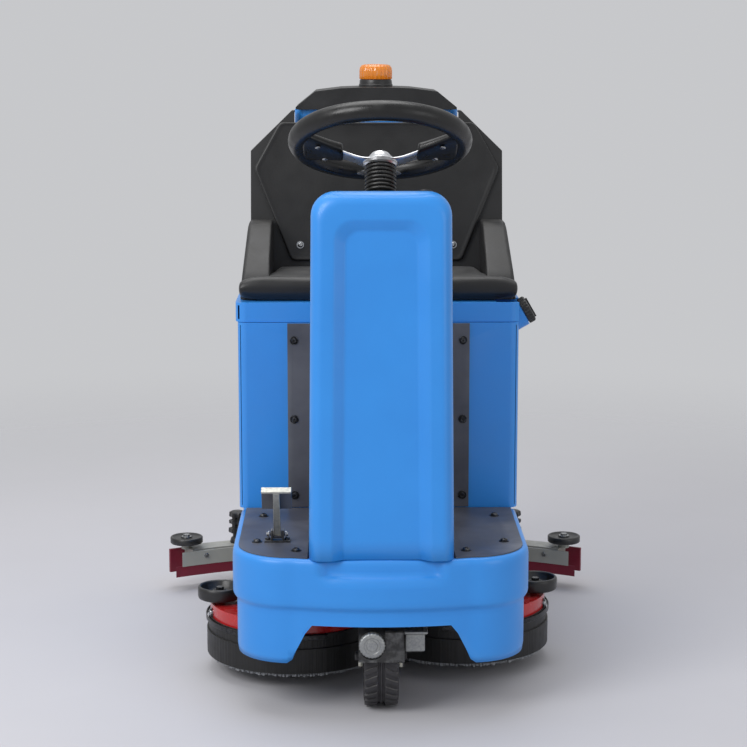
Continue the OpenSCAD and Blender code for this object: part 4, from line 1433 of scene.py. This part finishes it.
@dataclass
class DriveUnit:
    """The driven front wheel with its fork, brake and tyre."""

    axle: Triple = (0.0, 123.0, 106.0)
    tyre_radius: float = 106.0
    tyre_half: float = 37.5
    rim_radius: float = 78.0
    brake: Triple = (-20.0, 13.0, 163.0)
    brake_radius: float = 28.5

    def build(self) -> None:
        """Makes the tyre's tread, the brake cover and the small fittings."""
        self._tyre()
        self._brake()
        self._terminals()

    def _tyre(self) -> None:
        """Makes the tyre with slanted lugs and two centre grooves."""
        base = self.tyre_radius - 4.0
        half = self.tyre_half
        place = lying(station(*self.axle))
        shape = Shape()
        profile = [
            (self.rim_radius, -half + 5), (self.rim_radius + 10, -half), (base - 7, -half + 1),
            (base - 1.5, -half + 5), (base, -half + 10), (base, -7), (base - 3, -6),
            (base - 3, -2.2), (base, -1.4), (base, 1.4), (base - 3, 2.2), (base - 3, 6),
            (base, 7), (base, half - 10), (base - 1.5, half - 5), (base - 7, half - 1),
            (self.rim_radius + 10, half), (self.rim_radius, half - 5),
        ]  # fmt: skip
        shape.lathe(place, profile, 96)
        shape.faces = shape.faces[:-2]
        lugs = 30
        for side in (-1.0, 1.0):
            for k in range(lugs):
                start = TAU * (k + (0.25 if side > 0 else 0.0)) / lugs
                rings = []
                for j in range(6):
                    t = j / 5
                    across = side * (8.5 + (half - 10.5) * t)
                    lean = 0.11 * t
                    top = self.tyre_radius - 0.4 - 3.6 * max(0.0, t - 0.6) ** 1.5
                    ring = []
                    root = base - 2.5
                    for turn, radius in ((0.0, root), (0.012, top), (0.105, top), (0.117, root)):
                        ring.append(place @ polar(radius, start + lean + turn, across))
                    rings.append(ring)
                shape.loft(rings, caps=True)
        shape.piece("drive_tread", "drive_wheel", TYRE, bevel=0.7, stands_for=["drive_tyre"])

    def _brake(self) -> None:
        """Makes the bright ribbed cover of the parking brake."""
        x, s, z = self.brake
        place = Matrix.Translation(station(x, s, z)) @ Matrix.Rotation(math.pi / 2, 4, "X")
        r = self.brake_radius
        shape = Shape()
        shape.lathe(
            place,
            [
                (0.0, -6.0), (r - 1, -6.0), (r - 1, 5.0), (r - 2.5, 7.5), (r * 0.82, 8.6),
                (r * 0.62, 8.8), (r * 0.58, 7.6), (r * 0.42, 7.6), (r * 0.38, 9.4),
                (r * 0.16, 9.8), (0.0, 9.8),
            ],
            96,
            lambda a, h: 0.7 * math.cos(a * 24.0) if -5.5 < h < 7.6 else 0.0,
        )  # fmt: skip
        shape.piece(
            "brake_dome", "drive_unit", CAST_ALUMINIUM, sharp=45, stands_for=["brake_cover"]
        )

    def _terminals(self) -> None:
        """Makes the small bright fittings that show under the apron."""
        shape = Shape()
        for x, z in ((60.0, 186.0), (72.0, 186.0)):
            at = Matrix.Translation(station(x, 92.0, z - 8))
            post = [(0.0, 0.0), (4.0, 0.0), (4.0, 5.0), (2.4, 6.0), (2.4, 13.0), (0.0, 13.5)]
            shape.lathe(at, post, 24)
        shape.piece("motor_terminals", "drive_unit", TURNED_STEEL, bevel=0.4)
        cover = Shape()
        flat = Matrix.Identity(4)
        cover.block(flat, station(50.5, 66.0, 132.0), station(93.0, 104.0, 171.0))
        cover.block(flat, station(47.0, 63.0, 170.0), station(99.0, 106.0, 177.5))
        cover.piece("terminal_cover", "drive_unit", CAST_ALUMINIUM, bevel=3.0)
        pins = Shape()
        for x, low, high in ((41.0, 96.0, 142.0), (-44.0, 98.0, 132.0)):
            at = Matrix.Translation(station(x, 76.0, 0.0))
            pins.lathe(
                at,
                [
                    (0.0, low), (4.5, low), (5.0, low + 2), (5.0, low + 9),
                    (3.2, low + 10), (3.2, high), (0.0, high),
                ],
                24,
            )  # fmt: skip
        pins.piece("fork_stops", "drive_unit", ZINC, bevel=0.4)


@dataclass
class RearWheels:
    """The two tyres at the back, with hub caps."""

    axle_station: float = 880.0
    axle_height: float = 130.0
    outer: float = 308.0

    def build(self) -> None:
        """Makes hub caps and wheel nuts on both wheels."""
        for name, side in SIDES:
            body = f"rear_wheel_{name}"
            at = station(side * (self.outer - 9.0), self.axle_station, self.axle_height)
            place = Matrix.Translation(at) @ Matrix.Rotation(side * math.pi / 2, 4, "Y")
            shape = Shape()
            shape.lathe(
                place,
                [
                    (0.0, -3.0), (27.0, -3.0), (27.0, 3.0), (25.0, 5.0), (16.0, 6.4),
                    (14.0, 5.2), (0.0, 5.2),
                ],
                48,
            )  # fmt: skip
            shape.piece(f"hub_cap_{name}", body, NYLON, bevel=0.5)
            for k in range(5):
                spot = place @ Matrix.Translation(polar(48.0, TAU * k / 5, -2.0))
                nut = Bolt(7.0, 5.0, hexagonal=True, washer=10.0)
                nut.build(f"wheel_nut_{name}_{k}", body, spot)


@dataclass
class BrushDeck:
    """The red deck with its skirt, brushes and bumper rollers."""

    left: Pair = (-190.0, 400.0)
    right: Pair = (190.0, 470.0)
    shell_radius: float = 195.0
    disc_low: float = 82.0
    tip_height: float = 31.0
    roller_foot: float = 165.0
    rollers: tuple[tuple[str, float, float], ...] = (
        ("left", -361.0, 370.0),
        ("right", 361.0, 440.0),
    )

    def build(self) -> None:
        """Makes the bristles, the roller cups and the bright bolts."""
        self._bristles("left", self.left)
        self._bristles("right", self.right)
        for name, x, s in self.rollers:
            self._roller(name, x, s)
        self._skirt_ribs()
        self._bolts()

    def _bristles(self, name: str, middle: Pair) -> None:
        """Makes one brush's tufts.

        Args:
            name: Which brush.
            middle: Its axis.
        """
        maker = random.Random(17 if name == "left" else 29)
        shape = Shape()
        tufts = 44
        for row, radius in enumerate((180.0, 175.0, 164.0, 146.0, 126.0, 104.0, 82.0)):
            count = int(tufts * radius / 110.0) * (3 if row < 2 else 1)
            fine = 0.5 if row < 2 else 1.0
            for k in range(count):
                a = TAU * (k + 0.5 * (row % 2)) / count + maker.uniform(-0.01, 0.01)
                lean = 11.0 if row < 2 else 5.0
                foot = polar(radius, a)
                tip = foot * (1 + lean / radius) + Vector(
                    (maker.uniform(-2, 2), maker.uniform(-2, 2), 0.0)
                )
                base = station(middle[0], middle[1], self.disc_low) + foot
                end = station(middle[0], middle[1], self.tip_height + maker.uniform(-1, 3)) + tip
                rings = []
                for at, thick in ((base, 3.6), ((base + end) / 2, 4.6), (end, 5.4)):
                    turns = (0.0, 1.05, 2.09, 3.14, 4.19, 5.24)
                    rings.append([at + polar(thick * fine, b) for b in turns])
                shape.loft(rings, caps=True)
        shape.piece(
            f"bristle_tufts_{name}",
            f"{name}_brush",
            BRISTLE,
            stands_for=[f"brush_{name}"],
        )
        disc = Shape()
        top = box(f"brush_{name}")[1].z
        low = self.disc_low
        disc.lathe(
            Matrix.Translation(station(middle[0], middle[1], 0.0)),
            [
                (0.0, low - 1), (176.0, low - 1), (182.0, low + 1), (183.0, low + 8),
                (178.0, low + 13), (120.0, low + 15), (60.0, top - 2), (40.0, top), (0.0, top),
            ],
            96,
        )  # fmt: skip
        disc.piece(f"brush_disc_{name}", f"{name}_brush", BRUSH_DISC, bevel=0.8)

    def _roller(self, name: str, x: float, s: float) -> None:
        """Makes the dished cup of one bumper roller.

        Args:
            name: Which roller.
            x: Its axis across.
            s: Its axis along.
        """
        place = Matrix.Translation(station(x, s, self.roller_foot))
        shape = Shape()
        shape.lathe(
            place,
            [
                (12.0, 0.5), (44.0, 0.5), (48.6, 3.0), (49.9, 8.0), (50.2, 22.0),
                (49.6, 27.5), (47.6, 29.8), (44.4, 29.8), (42.4, 27.0), (38.5, 14.0),
                (33.0, 10.5), (19.0, 9.5), (17.0, 12.0), (16.0, 19.0), (12.0, 19.6),
                (12.0, 0.5),
            ],
            96,
        )  # fmt: skip
        shape.piece(
            f"roller_cup_{name}",
            f"{name}_bumper",
            NYLON,
            sharp=70,
            stands_for=[f"bumper_roller_{name}"],
        )
        at = Matrix.Translation(station(x, s, self.roller_foot + 19.4))
        Bolt(9.0, 6.0, BLACK_STEEL, hexagonal=True, washer=12.5).build(
            f"roller_bolt_{name}", "deck", at
        )

    def _skirt_ribs(self) -> None:
        """Makes the bright strap that clamps the skirt."""
        for name, (x, s) in (("left", self.left), ("right", self.right)):
            place = Matrix.Translation(station(x, s, 0.0))
            shape = Shape()
            spans = 64
            start, end = math.pi * 0.75, math.pi * 1.62
            if name == "right":
                start, end = math.pi * 1.42, math.pi * 2.2
            rings = []
            for k in range(spans + 1):
                out = polar(1.0, start + (end - start) * k / spans)
                ring = []
                for r, z in ((203.0, 116.0), (205.0, 117.0), (205.0, 127.0), (203.0, 128.0)):
                    ring.append(place @ (out * r + Vector((0.0, 0.0, z))))
                rings.append(ring)
            shape.loft(rings, caps=True)
            shape.piece(f"skirt_strap_{name}", "deck", BLACK_STEEL, bevel=0.5)

    def _bolts(self) -> None:
        """Makes the round bolts on the deck's sides."""
        for name, (x, s), turns in (
            ("left", self.left, (195.0, 238.0)),
            ("right", self.right, (308.0, 345.0)),
        ):
            for k, turn in enumerate(turns):
                out = polar(1.0, math.radians(turn))
                at = station(x, s, 137.0) + out * (self.shell_radius + 0.2)
                bolt = Bolt(8.5, 5.5, washer=11.0)
                bolt.build(f"deck_bolt_{name}_{k}", "deck", facing(at, out))


@dataclass
class LowerTank:
    """The solution tank, its front plate, the footplates and their bolts."""

    plate_bolts: tuple[Pair, ...] = ((262.0, 400.0), (266.0, 165.0), (180.0, 88.0))
    plate_top: float = 348.0
    front_plate_station: float = 484.0
    front_bolt_half: float = 193.0
    front_bolt_heights: tuple[float, ...] = (377.0, 555.0, 738.0)

    def build(self) -> None:
        """Makes the bolts that hold the covers."""
        screw = Bolt(8.0, 5.0, BLACK_STEEL, washer=11.0)
        stud = Bolt(7.0, 4.0, washer=9.5)
        to_nose = Matrix.Rotation(math.pi / 2, 4, "X")
        for name, side in SIDES:
            for number, (x, s) in enumerate(self.plate_bolts):
                at = Matrix.Translation(station(side * x, s, self.plate_top))
                screw.build(f"footplate_bolt_{name}_{number}", "chassis", at)
            for number, z in enumerate(self.front_bolt_heights):
                spot = station(side * self.front_bolt_half, self.front_plate_station, z)
                at = Matrix.Translation(spot) @ to_nose
                stud.build(f"front_plate_bolt_{name}_{number}", "chassis", at)


@dataclass
class Seat:
    """The cushion, the backrest pad and the shell round them."""

    cushion_half: float = 246.0
    cushion_back: float = 783.0
    cushion_low: float = 846.0
    cushion_top: float = 873.0
    roll_half: float = 321.0
    roll_front: float = 509.0
    roll_back: float = 548.0
    roll_low: float = 826.0
    roll_top: float = 876.0
    foot_station: float = 800.0
    foot_height: float = 872.0
    top_station: float = 864.0
    top_height: float = 1250.0
    swell_frames: int = 20
    swell_most: float = 4.0
    pad: tuple[Pair, ...] = (
        (-207.0, 14.0), (-297.0, 238.0), (-236.0, 349.0), (236.0, 349.0), (297.0, 238.0),
        (207.0, 14.0),
    )  # fmt: skip

    @property
    def place(self) -> Matrix:
        """The backrest's frame: Z up along the back and -Y towards the nose."""
        back = self.top_station - self.foot_station
        lean = math.degrees(math.atan(back / (self.top_height - self.foot_height)))
        return leaning(station(0.0, self.foot_station, self.foot_height), lean)

    def build(self) -> None:
        """Makes the soft pieces and the screws."""
        self._cushion()
        self._backrest()

    def _cushion(self) -> None:
        """Makes the seat cushion as a skinned foam block and lets it swell."""
        shape = Shape()
        rings = []
        count = 25
        for k in range(count):
            t = -1 + 2 * k / (count - 1)
            rings.append(self._cushion_section(t))
        shape.loft(rings, caps=True)
        pad = shape.piece("seat_pad", "upper_tank", FOAM_SKIN, stands_for=["seat_cushion"])
        self._swell(pad)

    def _cushion_section(self, t: float) -> list[Vector]:
        """One section of the cushion from its front roll to its back.

        Args:
            t: -1 at the left end and 1 at the right end.

        Returns:
            The points of the section.
        """
        x = t * self.roll_half
        end = 1.0 - 0.35 * max(0.0, abs(t) - 0.93) / 0.07
        inner = abs(x) < self.cushion_half
        back = self.cushion_back if inner else self.roll_back
        crown = 3.0 * (1 - t * t)
        middle_z = (self.roll_low + self.roll_top) / 2
        half_z = (self.roll_top - self.roll_low) / 2 * end
        points = []
        for k in range(13):
            a = math.pi * (1.5 - k / 12)
            s = self.roll_front + 19.0 + 19.0 * math.cos(a)
            points.append((s, middle_z + half_z * math.sin(a)))
        top = self.cushion_top if inner else middle_z + half_z
        low = self.cushion_low if inner else self.roll_low
        for k in range(1, 9):
            u = k / 8
            s = self.roll_front + 20.0 + (back - self.roll_front - 20.0) * u
            points.append((s, top + crown * math.sin(math.pi * u)))
        points.append((back + 1.0, (top + low) / 2))
        for k in range(8, 0, -1):
            u = k / 8
            s = self.roll_front + 24.0 + (back - self.roll_front - 24.0) * u
            lift = 1.0 if u > 0.3 or not inner else u / 0.3
            points.append((s, self.roll_low + (low - self.roll_low) * lift))
        return [station(x, s, z) for s, z in points]

    def _swell(self, pad: bpy.types.Object) -> None:
        """Fills the cushion with air pressure until its skin is tight.

        Args:
            pad: The cushion.
        """
        remesh = pad.modifiers.new("even_skin", "REMESH")
        remesh.mode = "VOXEL"
        remesh.voxel_size = 5 * MM
        remesh.use_smooth_shade = True
        self._apply(pad)
        rest = [v.co.copy() for v in pad.data.vertices]
        cloth = pad.modifiers.new("foam_skin", "CLOTH")
        settings = cloth.settings
        settings.quality = 5
        settings.mass = 0.3
        settings.tension_stiffness = settings.compression_stiffness = 25
        settings.shear_stiffness = 15
        settings.bending_stiffness = 2
        settings.use_pressure = True
        settings.uniform_pressure_force = 4.0
        settings.effector_weights.gravity = 0.0
        cloth.collision_settings.use_collision = False
        cloth.point_cache.frame_start = 1
        cloth.point_cache.frame_end = self.swell_frames
        scene = bpy.context.scene
        for step in range(1, self.swell_frames + 1):
            scene.frame_set(step)
        self._apply(pad)
        scene.frame_set(1)
        limit = self.swell_most * MM
        for vertex, start in zip(pad.data.vertices, rest):
            moved = vertex.co - start
            if moved.length > limit:
                vertex.co = start + moved.normalized() * limit
        relax = pad.modifiers.new("settled_skin", "CORRECTIVE_SMOOTH")
        relax.iterations = 12
        relax.use_only_smooth = True
        self._apply(pad)
        soft = pad.modifiers.new("rounding", "SUBSURF")
        soft.levels = soft.render_levels = 1

    @staticmethod
    def _apply(target: bpy.types.Object) -> None:
        """Bakes an object's modifiers into its mesh.

        Args:
            target: The object.
        """
        graph = bpy.context.evaluated_depsgraph_get()
        shown = target.evaluated_get(graph)
        baked = bpy.data.meshes.new_from_object(shown)
        materials = list(target.data.materials)
        target.modifiers.clear()
        target.data = baked
        if not baked.materials:
            for material in materials:
                baked.materials.append(material)
        for face in baked.polygons:
            face.use_smooth = True

    def _pad_points(self, inset: float) -> list[Pair]:
        """The pad's outline with rounded corners.

        Args:
            inset: How far it is drawn in.

        Returns:
            The points.
        """
        middle = Vector((0.0, 186.0))
        corners = [Vector(p) for p in self.pad]
        shrunk = []
        for corner in corners:
            out = corner - middle
            shrunk.append(middle + out * (1 - inset / out.length * 1.15))
        points = []
        count = len(shrunk)
        for i, corner in enumerate(shrunk):
            before = (shrunk[i - 1] - corner).normalized()
            after = (shrunk[(i + 1) % count] - corner).normalized()
            cut = 11.0
            for k in range(7):
                t = k / 6
                start = corner + before * cut
                end = corner + after * cut
                bend = start * (1 - t) ** 2 + corner * (2 * t * (1 - t)) + end * t**2
                points.append((bend.x, bend.y))
        return points

    def _backrest(self) -> None:
        """Makes the six-sided backrest pad and its two screws."""
        shape = Shape()
        rings = []
        for inset, out in (
            (0.0, 0.4), (0.0, 7.0), (0.8, 9.2), (2.6, 10.4), (5.5, 10.6), (9.0, 9.8),
            (14.0, 9.2), (60.0, 9.4), (110.0, 10.2),
        ):  # fmt: skip
            rings.append([self.place @ Vector((x, -out, v)) for x, v in self._pad_points(inset)])
        shape.loft(rings, caps=True)
        pad = shape.piece(
            "backrest_pad", "upper_tank", FOAM_SKIN, sharp=70, stands_for=["backrest_panel"]
        )
        for number, x in enumerate((-185.0, 185.0)):
            at = self.place @ Matrix.Translation((x, -10.5, 52.0))
            at = at @ Matrix.Rotation(math.pi / 2, 4, "X")
            Bolt(6.5, 4.0, washer=9.0).build(f"backrest_screw_{number}", "upper_tank", at)


@dataclass
class Beacon:
    """The amber beacon on the lid."""

    middle: Pair = (0.0, 1000.0)

    def build(self) -> None:
        """Makes the fluted lens over its dark base."""
        low, high = box("beacon_lens")
        base_low, base_high = box("beacon_base")
        place = Matrix.Translation(station(self.middle[0], self.middle[1], 0.0))
        radius = (high.x - low.x) / 2
        tall = high.z - low.z
        shape = Shape()
        shape.lathe(
            place,
            [
                (0.0, low.z + 0.5), (radius - 1, low.z + 0.5), (radius, low.z + 2),
                (radius, low.z + tall * 0.55), (radius - 1.5, low.z + tall * 0.78),
                (radius - 6, low.z + tall * 0.93), (radius - 14, high.z), (0.0, high.z + 0.3),
            ],
            144,
            lambda a, z: 0.8 * math.cos(a * 24.0) if z < high.z - 1 else 0.0,
        )  # fmt: skip
        shape.piece("beacon_cover", "lid", AMBER, sharp=50, stands_for=["beacon_lens"])
        ring = Shape()
        r = (base_high.x - base_low.x) / 2
        ring.lathe(
            place,
            [
                (0.0, base_low.z), (r, base_low.z), (r, base_low.z + 5), (r - 1.5, base_low.z + 7),
                (r - 2.0, base_high.z - 3), (r - 4.0, base_high.z), (0.0, base_high.z),
            ],
            96,
        )  # fmt: skip
        ring.piece("beacon_foot", "lid", NYLON, bevel=0.6, stands_for=["beacon_base"])


@dataclass
class Filler:
    """The cap of the solution tank's filler."""

    middle: Triple = (338.0, 545.0, 798.0)
    lean: float = 60.0
    radius: float = 31.0

    def build(self) -> None:
        """Makes the ribbed cap."""
        tilt = Matrix.Rotation(math.radians(self.lean), 4, "Y")
        place = Matrix.Translation(station(*self.middle)) @ tilt
        shape = Shape()
        r = self.radius
        shape.lathe(
            place,
            [
                (0.0, -3.5), (r - 1, -3.5), (r, -2.0), (r, 10.0), (r - 1.5, 13.0),
                (r - 6, 14.0), (r - 9, 12.8), (8.0, 12.6), (0.0, 12.6),
            ],
            144,
            lambda a, z: 0.8 * math.copysign(1.0, math.cos(a * 24)) if -3.0 < z < 11 else 0.0,
        )  # fmt: skip
        shape.block(place, (-r + 7, -3.5, 12.0), (r - 7, 3.5, 18.0))
        shape.piece("filler_lid", "filler", NYLON, bevel=0.5, stands_for=["filler_cap"])


@dataclass
class Squeegee:
    """The fittings on the curved squeegee."""

    arc_station: float = 100.0
    arc_radius: float = 1066.0
    clamp_height: float = 108.0
    knob_x: float = 363.0
    lip_half: float = 516.0
    strap_half: float = 500.0
    strap_bolts: tuple[float, ...] = tuple(-440.0 + 110.0 * k for k in range(9))

    def on_arc(self, x: float, offset: float, z: float) -> Vector:
        """Where the squeegee's curve passes.

        Args:
            x: Place across.
            offset: Distance outside the curve's middle.
            z: Height.

        Returns:
            The point.
        """
        radius = self.arc_radius + offset
        return station(x, self.arc_station + math.sqrt(radius * radius - x * x), z)

    def build(self) -> None:
        """Makes the clamping straps, the roller caps and the lock nuts."""
        self._knobs()
        self._lip()
        self._strap("front", -33.4)
        self._strap("back", 34.4)
        for name, _ in SIDES:
            low, high = box(f"squeegee_roller_{name}")
            middle = (low + high) / 2
            place = Matrix.Translation((middle.x, middle.y, 0.0))
            r = (high.x - low.x) / 2
            shape = Shape()
            shape.lathe(
                place,
                [
                    (8.0, low.z), (r - 2, low.z), (r, low.z + 2), (r, high.z - 2),
                    (r - 2, high.z), (r - 5, high.z), (r - 7, high.z - 2.5),
                    (15.0, high.z - 2.5), (14.0, high.z), (8.0, high.z), (8.0, low.z),
                ],
                96,
            )  # fmt: skip
            body = f"squeegee_wheel_{name}"
            covered = [f"squeegee_roller_{name}"]
            shape.piece(f"bump_wheel_{name}", body, NYLON, sharp=60, stands_for=covered)
            at = Matrix.Translation((middle.x, middle.y, high.z - 1.0))
            bolt = Bolt(9.0, 5.0, hexagonal=True, washer=13.0)
            bolt.build(f"bump_wheel_bolt_{name}", "squeegee", at)

    def _lip(self) -> None:
        """Makes the front blade's working lip."""
        shape = Shape()
        rings = []
        section = ((-32.0, 40.5), (-34.6, 41.5), (-34.6, 69.0), (-32.0, 69.0))
        for t in shares(64):
            x = self.lip_half * (2 * t - 1)
            rings.append([self.on_arc(x, offset, z) for offset, z in section])
        shape.loft(rings, caps=True)
        shape.piece("blade_lip_front", "squeegee", BLADE_RUBBER, bevel=0.5)

    def _knobs(self) -> None:
        """Makes the lobed clamping knobs."""
        low = self.clamp_height
        for name, side in SIDES:
            at = self.on_arc(side * self.knob_x, 0.0, 0.0)
            shape = Shape()
            shape.lathe(
                Matrix.Translation(at),
                [
                    (0.0, low + 0.5), (19.0, low + 0.5), (20.0, low + 3), (16.0, low + 14),
                    (12.0, low + 16), (12.0, low + 26), (21.0, low + 28), (22.0, low + 31),
                    (21.0, low + 39), (12.5, low + 41), (12.5, low + 50), (20.0, low + 52),
                    (20.5, low + 60), (12.0, low + 62), (12.0, low + 68), (19.0, low + 70),
                    (20.0, low + 73), (19.0, low + 82), (15.0, low + 84.5), (0.0, low + 85),
                ],
                72,
                lambda a, z: 1.5 * math.cos(a * 6.0) if low + 27 < z < low + 84 else 0.0,
            )  # fmt: skip
            shape.piece(
                f"clamp_knob_{name}",
                f"squeegee_clamp_{name}",
                NYLON,
                sharp=50,
                stands_for=[f"squeegee_knob_{name}"],
            )

    def _strap(self, name: str, offset: float) -> None:
        """Makes one bright strap that holds a blade, with its small bolts.

        Args:
            name: Which blade.
            offset: How far outside the curve's middle it lies.
        """
        shape = Shape()
        rings = []
        out = 2.4 if offset > 0 else -2.4
        for t in shares(60):
            x = self.strap_half * (2 * t - 1)
            ring = []
            for push, z in ((0.0, 67.0), (out, 67.6), (out, 104.6), (0.0, 105.2)):
                ring.append(self.on_arc(x, offset + push, z))
            rings.append(ring)
        shape.loft(rings, caps=True)
        shape.piece(f"blade_strap_{name}", "squeegee", GREY_ENAMEL, bevel=0.6)
        for k, x in enumerate(self.strap_bolts):
            at = self.on_arc(x, offset + out, 91.0)
            ahead = (at - station(0.0, self.arc_station, 91.0)).normalized()
            ahead = ahead if offset > 0 else -ahead
            bolt = Bolt(5.0, 3.0, hexagonal=True, washer=6.5)
            bolt.build(f"strap_bolt_{name}_{k}", "squeegee", facing(at, ahead))


@dataclass
class Pedal:
    """The accelerator pedal."""

    pin: Triple = (-222.0, 170.0, 364.0)
    lean: float = 27.0
    stem: float = 120.0
    half: float = 32.0

    def build(self) -> None:
        """Makes the bright stem and bar and the dark tread plate."""
        tilt = Matrix.Rotation(math.radians(self.lean), 4, "X")
        place = Matrix.Translation(station(*self.pin)) @ tilt
        bright = Shape()
        bright.block(place, (-7.0, -9.5, 4.0), (7.0, -4.5, self.stem))
        bright.block(place, (-7.0, -9.5, 4.0), (-5.0, 3.0, self.stem - 4))
        bright.block(place, (5.0, -9.5, 4.0), (7.0, 3.0, self.stem - 4))
        bright.block(
            place, (-self.half, -9.0, self.stem - 0.5), (self.half, 7.5, self.stem + 4.5)
        )
        bright.piece("pedal_stem", "pedal", ZINC, bevel=0.8)
        dark = Shape()
        dark.block(place, (-self.half, 3.0, self.stem - 52), (self.half, 7.0, self.stem - 0.4))
        for k in range(5):
            low = self.stem - 47 + 9.6 * k
            dark.block(place, (-self.half + 4, 6.6, low), (self.half - 4, 8.4, low + 4.5))
        across = place @ Matrix.Rotation(math.pi / 2, 4, "Y")
        dark.lathe(
            across,
            [(4.4, -10.0), (9.0, -10.0), (9.0, 10.0), (4.4, 10.0), (4.4, -10.0)],
            36,
        )
        dark.piece(
            "pedal_tread", "pedal", SLATE_COAT, bevel=0.7, stands_for=["accelerator_pedal"]
        )
        for number, x in enumerate((-18.0, 18.0)):
            at = place @ Matrix.Rotation(math.pi / 2, 4, "Y") @ Matrix.Translation((0, 0, x))
            spin = at if x > 0 else at @ Matrix.Rotation(math.pi, 4, "X")
            Bolt(5.5, 4.0, hexagonal=True, washer=8.0).build(
                f"pedal_bolt_{number}", "chassis", spin
            )


@dataclass
class Bolster:
    """The side wings of the seat's shell."""

    inner: float = 250.0
    outer: float = 307.0
    flare: float = 10.0
    foot: float = 842.0
    tallest: float = 147.0
    round_in: float = 6.0
    round_out: float = 11.0
    path: tuple[Pair, ...] = (
        (538.0, 852.0), (547.0, 872.0), (570.0, 892.0), (600.0, 911.0), (640.0, 936.0),
        (676.0, 958.0), (700.0, 973.0), (722.0, 983.0), (742.0, 986.0), (770.0, 986.0),
        (806.0, 986.0),
    )  # fmt: skip

    def build(self) -> None:
        """Makes both wings."""
        for name, side in SIDES:
            shape = Shape()
            shape.loft([self._section(side, s, top) for s, top in self.path], caps=True)
            shape.piece(f"seat_wing_{name}", "upper_tank", ABS_GRAINED, sharp=60)

    def _section(self, side: float, s: float, top: float) -> list[Vector]:
        """One upright section across a wing.

        Args:
            side: -1 for left and 1 for right.
            s: Station of the section.
            top: Height of its crown.

        Returns:
            The points.
        """
        outline = [(self.inner, self.foot)]
        tall = max(top - self.foot, 1.0)
        grow = self.flare * (1 - min(1.0, tall / self.tallest))
        for t in shares(6):
            a = math.pi / 2 * t
            x = self.inner + self.round_in * (1 - math.cos(a))
            z = top - self.round_in + self.round_in * math.sin(a)
            outline.append((x, max(self.foot, z)))
        for t in shares(6):
            a = math.pi / 2 * t
            x = self.outer + grow - self.round_out * (1 - math.sin(a))
            z = top - self.round_out + self.round_out * math.cos(a)
            outline.append((x, max(self.foot, z)))
        outline.append((self.outer + self.flare, self.foot))
        return [station(side * x, s, z) for x, z in outline]


@dataclass
class ShellNotch:
    """The gap in the top of the seat's shell that shows the blue tank."""

    half: float = 199.0
    front: float = 846.0
    back: float = 911.5
    low: float = 1216.0
    high: float = 1262.0

    def build(self) -> None:
        """Cuts the gap."""
        shape = Shape()
        shape.block(
            Matrix.Identity(4),
            station(-self.half, self.front, self.low),
            station(self.half, self.back, self.high),
        )
        cutter = shape.piece("shell_notch_cutter", "upper_tank", ABS_GRAINED)
        cutter.hide_render = True
        cutter.display_type = "WIRE"
        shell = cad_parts["seat_shell"]
        notch = shell.modifiers.new("top_notch", "BOOLEAN")
        notch.operation = "DIFFERENCE"
        notch.object = cutter
        notch.solver = "EXACT"
        shell.modifiers.move(len(shell.modifiers) - 1, 0)


@dataclass
class Dressing:
    """Which finish and how round an edge each remaining CAD node gets."""

    table: dict[str, tuple[Finish, float]] = field(
        default_factory=lambda: {
            "main_frame": (FRAME_COAT, 1.5),
            "solution_tank": (POLYETHYLENE, 7.0),
            "control_panel": (ABS_GRAINED, 1.4),
            "footplates": (SLATE_COAT, 0.9),
            "cover_bolts": (BLACK_STEEL, 0.4),
            "tank_front_plate": (SLATE_COAT, 1.2),
            "batteries": (BATTERY, 3.0),
            "rear_axle": (TURNED_STEEL, 0.8),
            "pedal_bracket": (FRAME_COAT, 0.8),
            "deck_actuator": (DARK_CASTING, 1.0),
            "motor_controller": (CAST_ALUMINIUM, 1.5),
            "steering_shaft": (TURNED_STEEL, 0.6),
            "drive_fork": (FRAME_COAT, 1.0),
            "drive_motor": (DARK_CASTING, 1.6),
            "drive_housing": (DARK_CASTING, 2.0),
            "drive_rim": (CAST_ALUMINIUM, 1.0),
            "rear_rim_left": (CAST_ALUMINIUM, 1.0),
            "rear_rim_right": (CAST_ALUMINIUM, 1.0),
            "rear_tyre_left": (TYRE, 2.0),
            "rear_tyre_right": (TYRE, 2.0),
            "ignition_key": (TURNED_STEEL, 0.5),
            "speed_knob": (NYLON, 0.9),
            "emergency_stop": (RED_ACRYLIC, 1.6),
            "horn_button": (NYLON, 0.8),
            "direction_switch": (NYLON, 0.8),
            "deck_lower_arms": (FRAME_COAT, 1.2),
            "deck_upper_link": (FRAME_COAT, 1.2),
            "deck_actuator_rod": (TURNED_STEEL, 0.6),
            "deck_housing": (RED_ENAMEL, 5.0),
            "deck_skirt": (SKIRT_RUBBER, 0.6),
            "brush_motors": (DARK_CASTING, 2.0),
            "squeegee_yoke": (FRAME_COAT, 1.5),
            "squeegee_arm": (FRAME_COAT, 1.5),
            "squeegee_body": (GREY_ENAMEL, 2.5),
            "squeegee_blades": (BLADE_RUBBER, 1.0),
            "recovery_tank": (POLYETHYLENE, 8.0),
            "seat_shell": (ABS_GRAINED, 5.0),
            "tank_lid": (ABS_GRAINED, 5.0),
            "vacuum_motor": (DARK_CASTING, 2.0),
        }
    )

    def apply(self) -> None:
        """Dresses the nodes."""
        for node, (finish, bevel) in self.table.items():
            refine(node, finish, bevel)


def main() -> None:
    """Builds the room and the machine in order."""
    logging.basicConfig(level=logging.INFO, format="%(name)s: %(message)s")
    Studio().build()
    Dressing().apply()
    parts: list[Any] = [
        Tower(),
        Cowl(),
        SteeringColumn(),
        DriveUnit(),
        RearWheels(),
        LowerTank(),
        BrushDeck(),
        Squeegee(),
        Pedal(),
        Seat(),
        Bolster(),
        ShellNotch(),
        Beacon(),
        Filler(),
    ]
    for part in parts:
        part.build()
        LOG.info("built %s", type(part).__name__)


if __name__ == "__main__":
    main()
